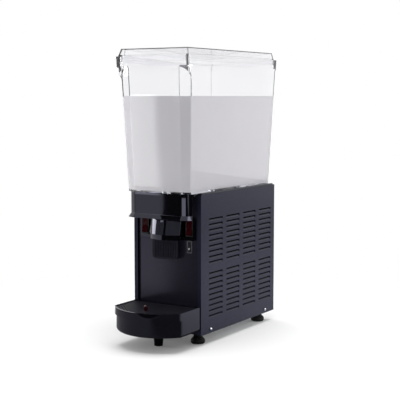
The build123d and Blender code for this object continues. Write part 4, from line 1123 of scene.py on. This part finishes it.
def seen(tree: bpy.types.NodeTree) -> bpy.types.NodeSocket:
    """Add a switch that is 1 where the camera sees a surface, in a mirror or through glass too.

    Args:
        tree: Tree that gets the nodes.

    Returns:
        The switch's output.
    """
    path = add_node(tree, "ShaderNodeLightPath").outputs
    mirrored = add_node(tree, "ShaderNodeMath", {0: path["Is Camera Ray"], 1: path["Is Glossy Ray"]},
                        operation="MAXIMUM")
    shown = add_node(tree, "ShaderNodeMath", {0: mirrored.outputs[0], 1: path["Is Transmission Ray"]},
                     operation="MAXIMUM")
    direct = add_node(tree, "ShaderNodeMath", {0: path["Diffuse Depth"], 1: NO_BOUNCE},
                      operation="LESS_THAN")
    return add_node(tree, "ShaderNodeMath", {0: shown.outputs[0], 1: direct.outputs[0]},
                    operation="MULTIPLY").outputs[0]


@dataclass
class Studio:
    """Floor, surroundings, lamps, cards and camera; metres and degrees."""

    floor_half: float = 30.0
    floor_colour: str = "#ececec"
    floor_lift: float = 0.1
    paper_near: float = 0.45
    paper_far: float = 0.9
    room_light: float = 0.45
    backdrop_light: float = 1.0
    softboxes: tuple[Softbox, ...] = SOFTBOXES
    cards: tuple[Card, ...] = CARDS
    azimuth: float = 32.05
    pitch: float = 5.726
    position: Point = (1.3449, -2.1155, 0.5833)
    lens_mm: float = 92.42
    sensor_mm: float = 36.0

    def build(self) -> None:
        """Set the stage."""
        self.floor()
        self.surroundings()
        for softbox in self.softboxes:
            softbox.hang()
        for card in self.cards:
            card.set_up()
        self.camera()

    def floor(self) -> None:
        """Lay the floor."""
        half = self.floor_half
        mesh = flat_mesh("floor", [(x, y, 0.0) for x, y in oblong(-half, half, -half, half)])
        mesh.materials.append(self.paper())
        add_object("floor", mesh)

    def paper(self) -> bpy.types.Material:
        """Make seamless paper: pale with the machine's shadow on it, and plain white further off.

        Returns:
            The material.
        """
        made = blank_material("seamless_paper")
        tree = made.node_tree
        shown = seen(tree)
        lit = add_node(tree, "ShaderNodeBsdfDiffuse", {"Color": linear(self.floor_colour)})
        lift = add_node(tree, "ShaderNodeMath", {0: shown, 1: self.floor_lift}, operation="MULTIPLY")
        glow = add_node(tree, "ShaderNodeEmission", {"Strength": lift.outputs[0]})
        near = add_node(tree, "ShaderNodeAddShader", {0: lit.outputs[0], 1: glow.outputs[0]})
        place = add_node(tree, "ShaderNodeTexCoord").outputs["Object"]
        away = add_node(tree, "ShaderNodeVectorMath", {0: place}, operation="LENGTH")
        fade = add_node(tree, "ShaderNodeMapRange", {
            "Value": away.outputs["Value"], "From Min": self.paper_near, "From Max": self.paper_far},
            interpolation_type="SMOOTHSTEP")
        share = add_node(tree, "ShaderNodeMath", {0: shown, 1: fade.outputs["Result"]}, operation="MULTIPLY")
        white = add_node(tree, "ShaderNodeEmission", {"Strength": self.backdrop_light})
        surface = add_node(tree, "ShaderNodeMixShader", {
            0: share.outputs[0], 1: near.outputs[0], 2: white.outputs[0]})
        add_node(tree, "ShaderNodeOutputMaterial", {"Surface": surface.outputs[0]})
        return made

    def surroundings(self) -> None:
        """Light the machine softly from all round, and show plain white behind it."""
        world = bpy.data.worlds.new("white_studio")
        bpy.context.scene.world = world
        world.use_nodes = True
        tree = world.node_tree
        tree.nodes.clear()
        room, white = (
            add_node(tree, "ShaderNodeBackground", {"Color": linear(WHITE), "Strength": strength}).outputs[0]
            for strength in (self.room_light, self.backdrop_light))
        both = add_node(tree, "ShaderNodeMixShader", {0: seen(tree), 1: room, 2: white})
        add_node(tree, "ShaderNodeOutputWorld", {"Surface": both.outputs[0]})

    def camera(self) -> None:
        """Stand the camera where the photograph was taken from."""
        turn, tip = math.radians(self.azimuth), math.radians(self.pitch)
        ahead = Vector((-math.sin(turn) * math.cos(tip), math.cos(turn) * math.cos(tip), -math.sin(tip)))
        data = bpy.data.cameras.new("camera")
        data.lens = self.lens_mm
        data.sensor_width = self.sensor_mm
        camera = add_object("camera", data)
        camera.location = self.position
        camera.rotation_euler = ahead.to_track_quat("-Z", "Y").to_euler()
        bpy.context.scene.camera = camera


def main() -> None:
    """Build every sub-assembly and set the stage."""
    logging.basicConfig(level=logging.INFO, format="%(message)s")
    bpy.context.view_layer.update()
    for group in (Cabinet(), Tank(), Tap(), Switches(), DripTray(), CoolingMachinery(), Studio()):
        group.build()
    bpy.context.scene.view_settings.view_transform = "Standard"


if __name__ == "__main__":
    main()
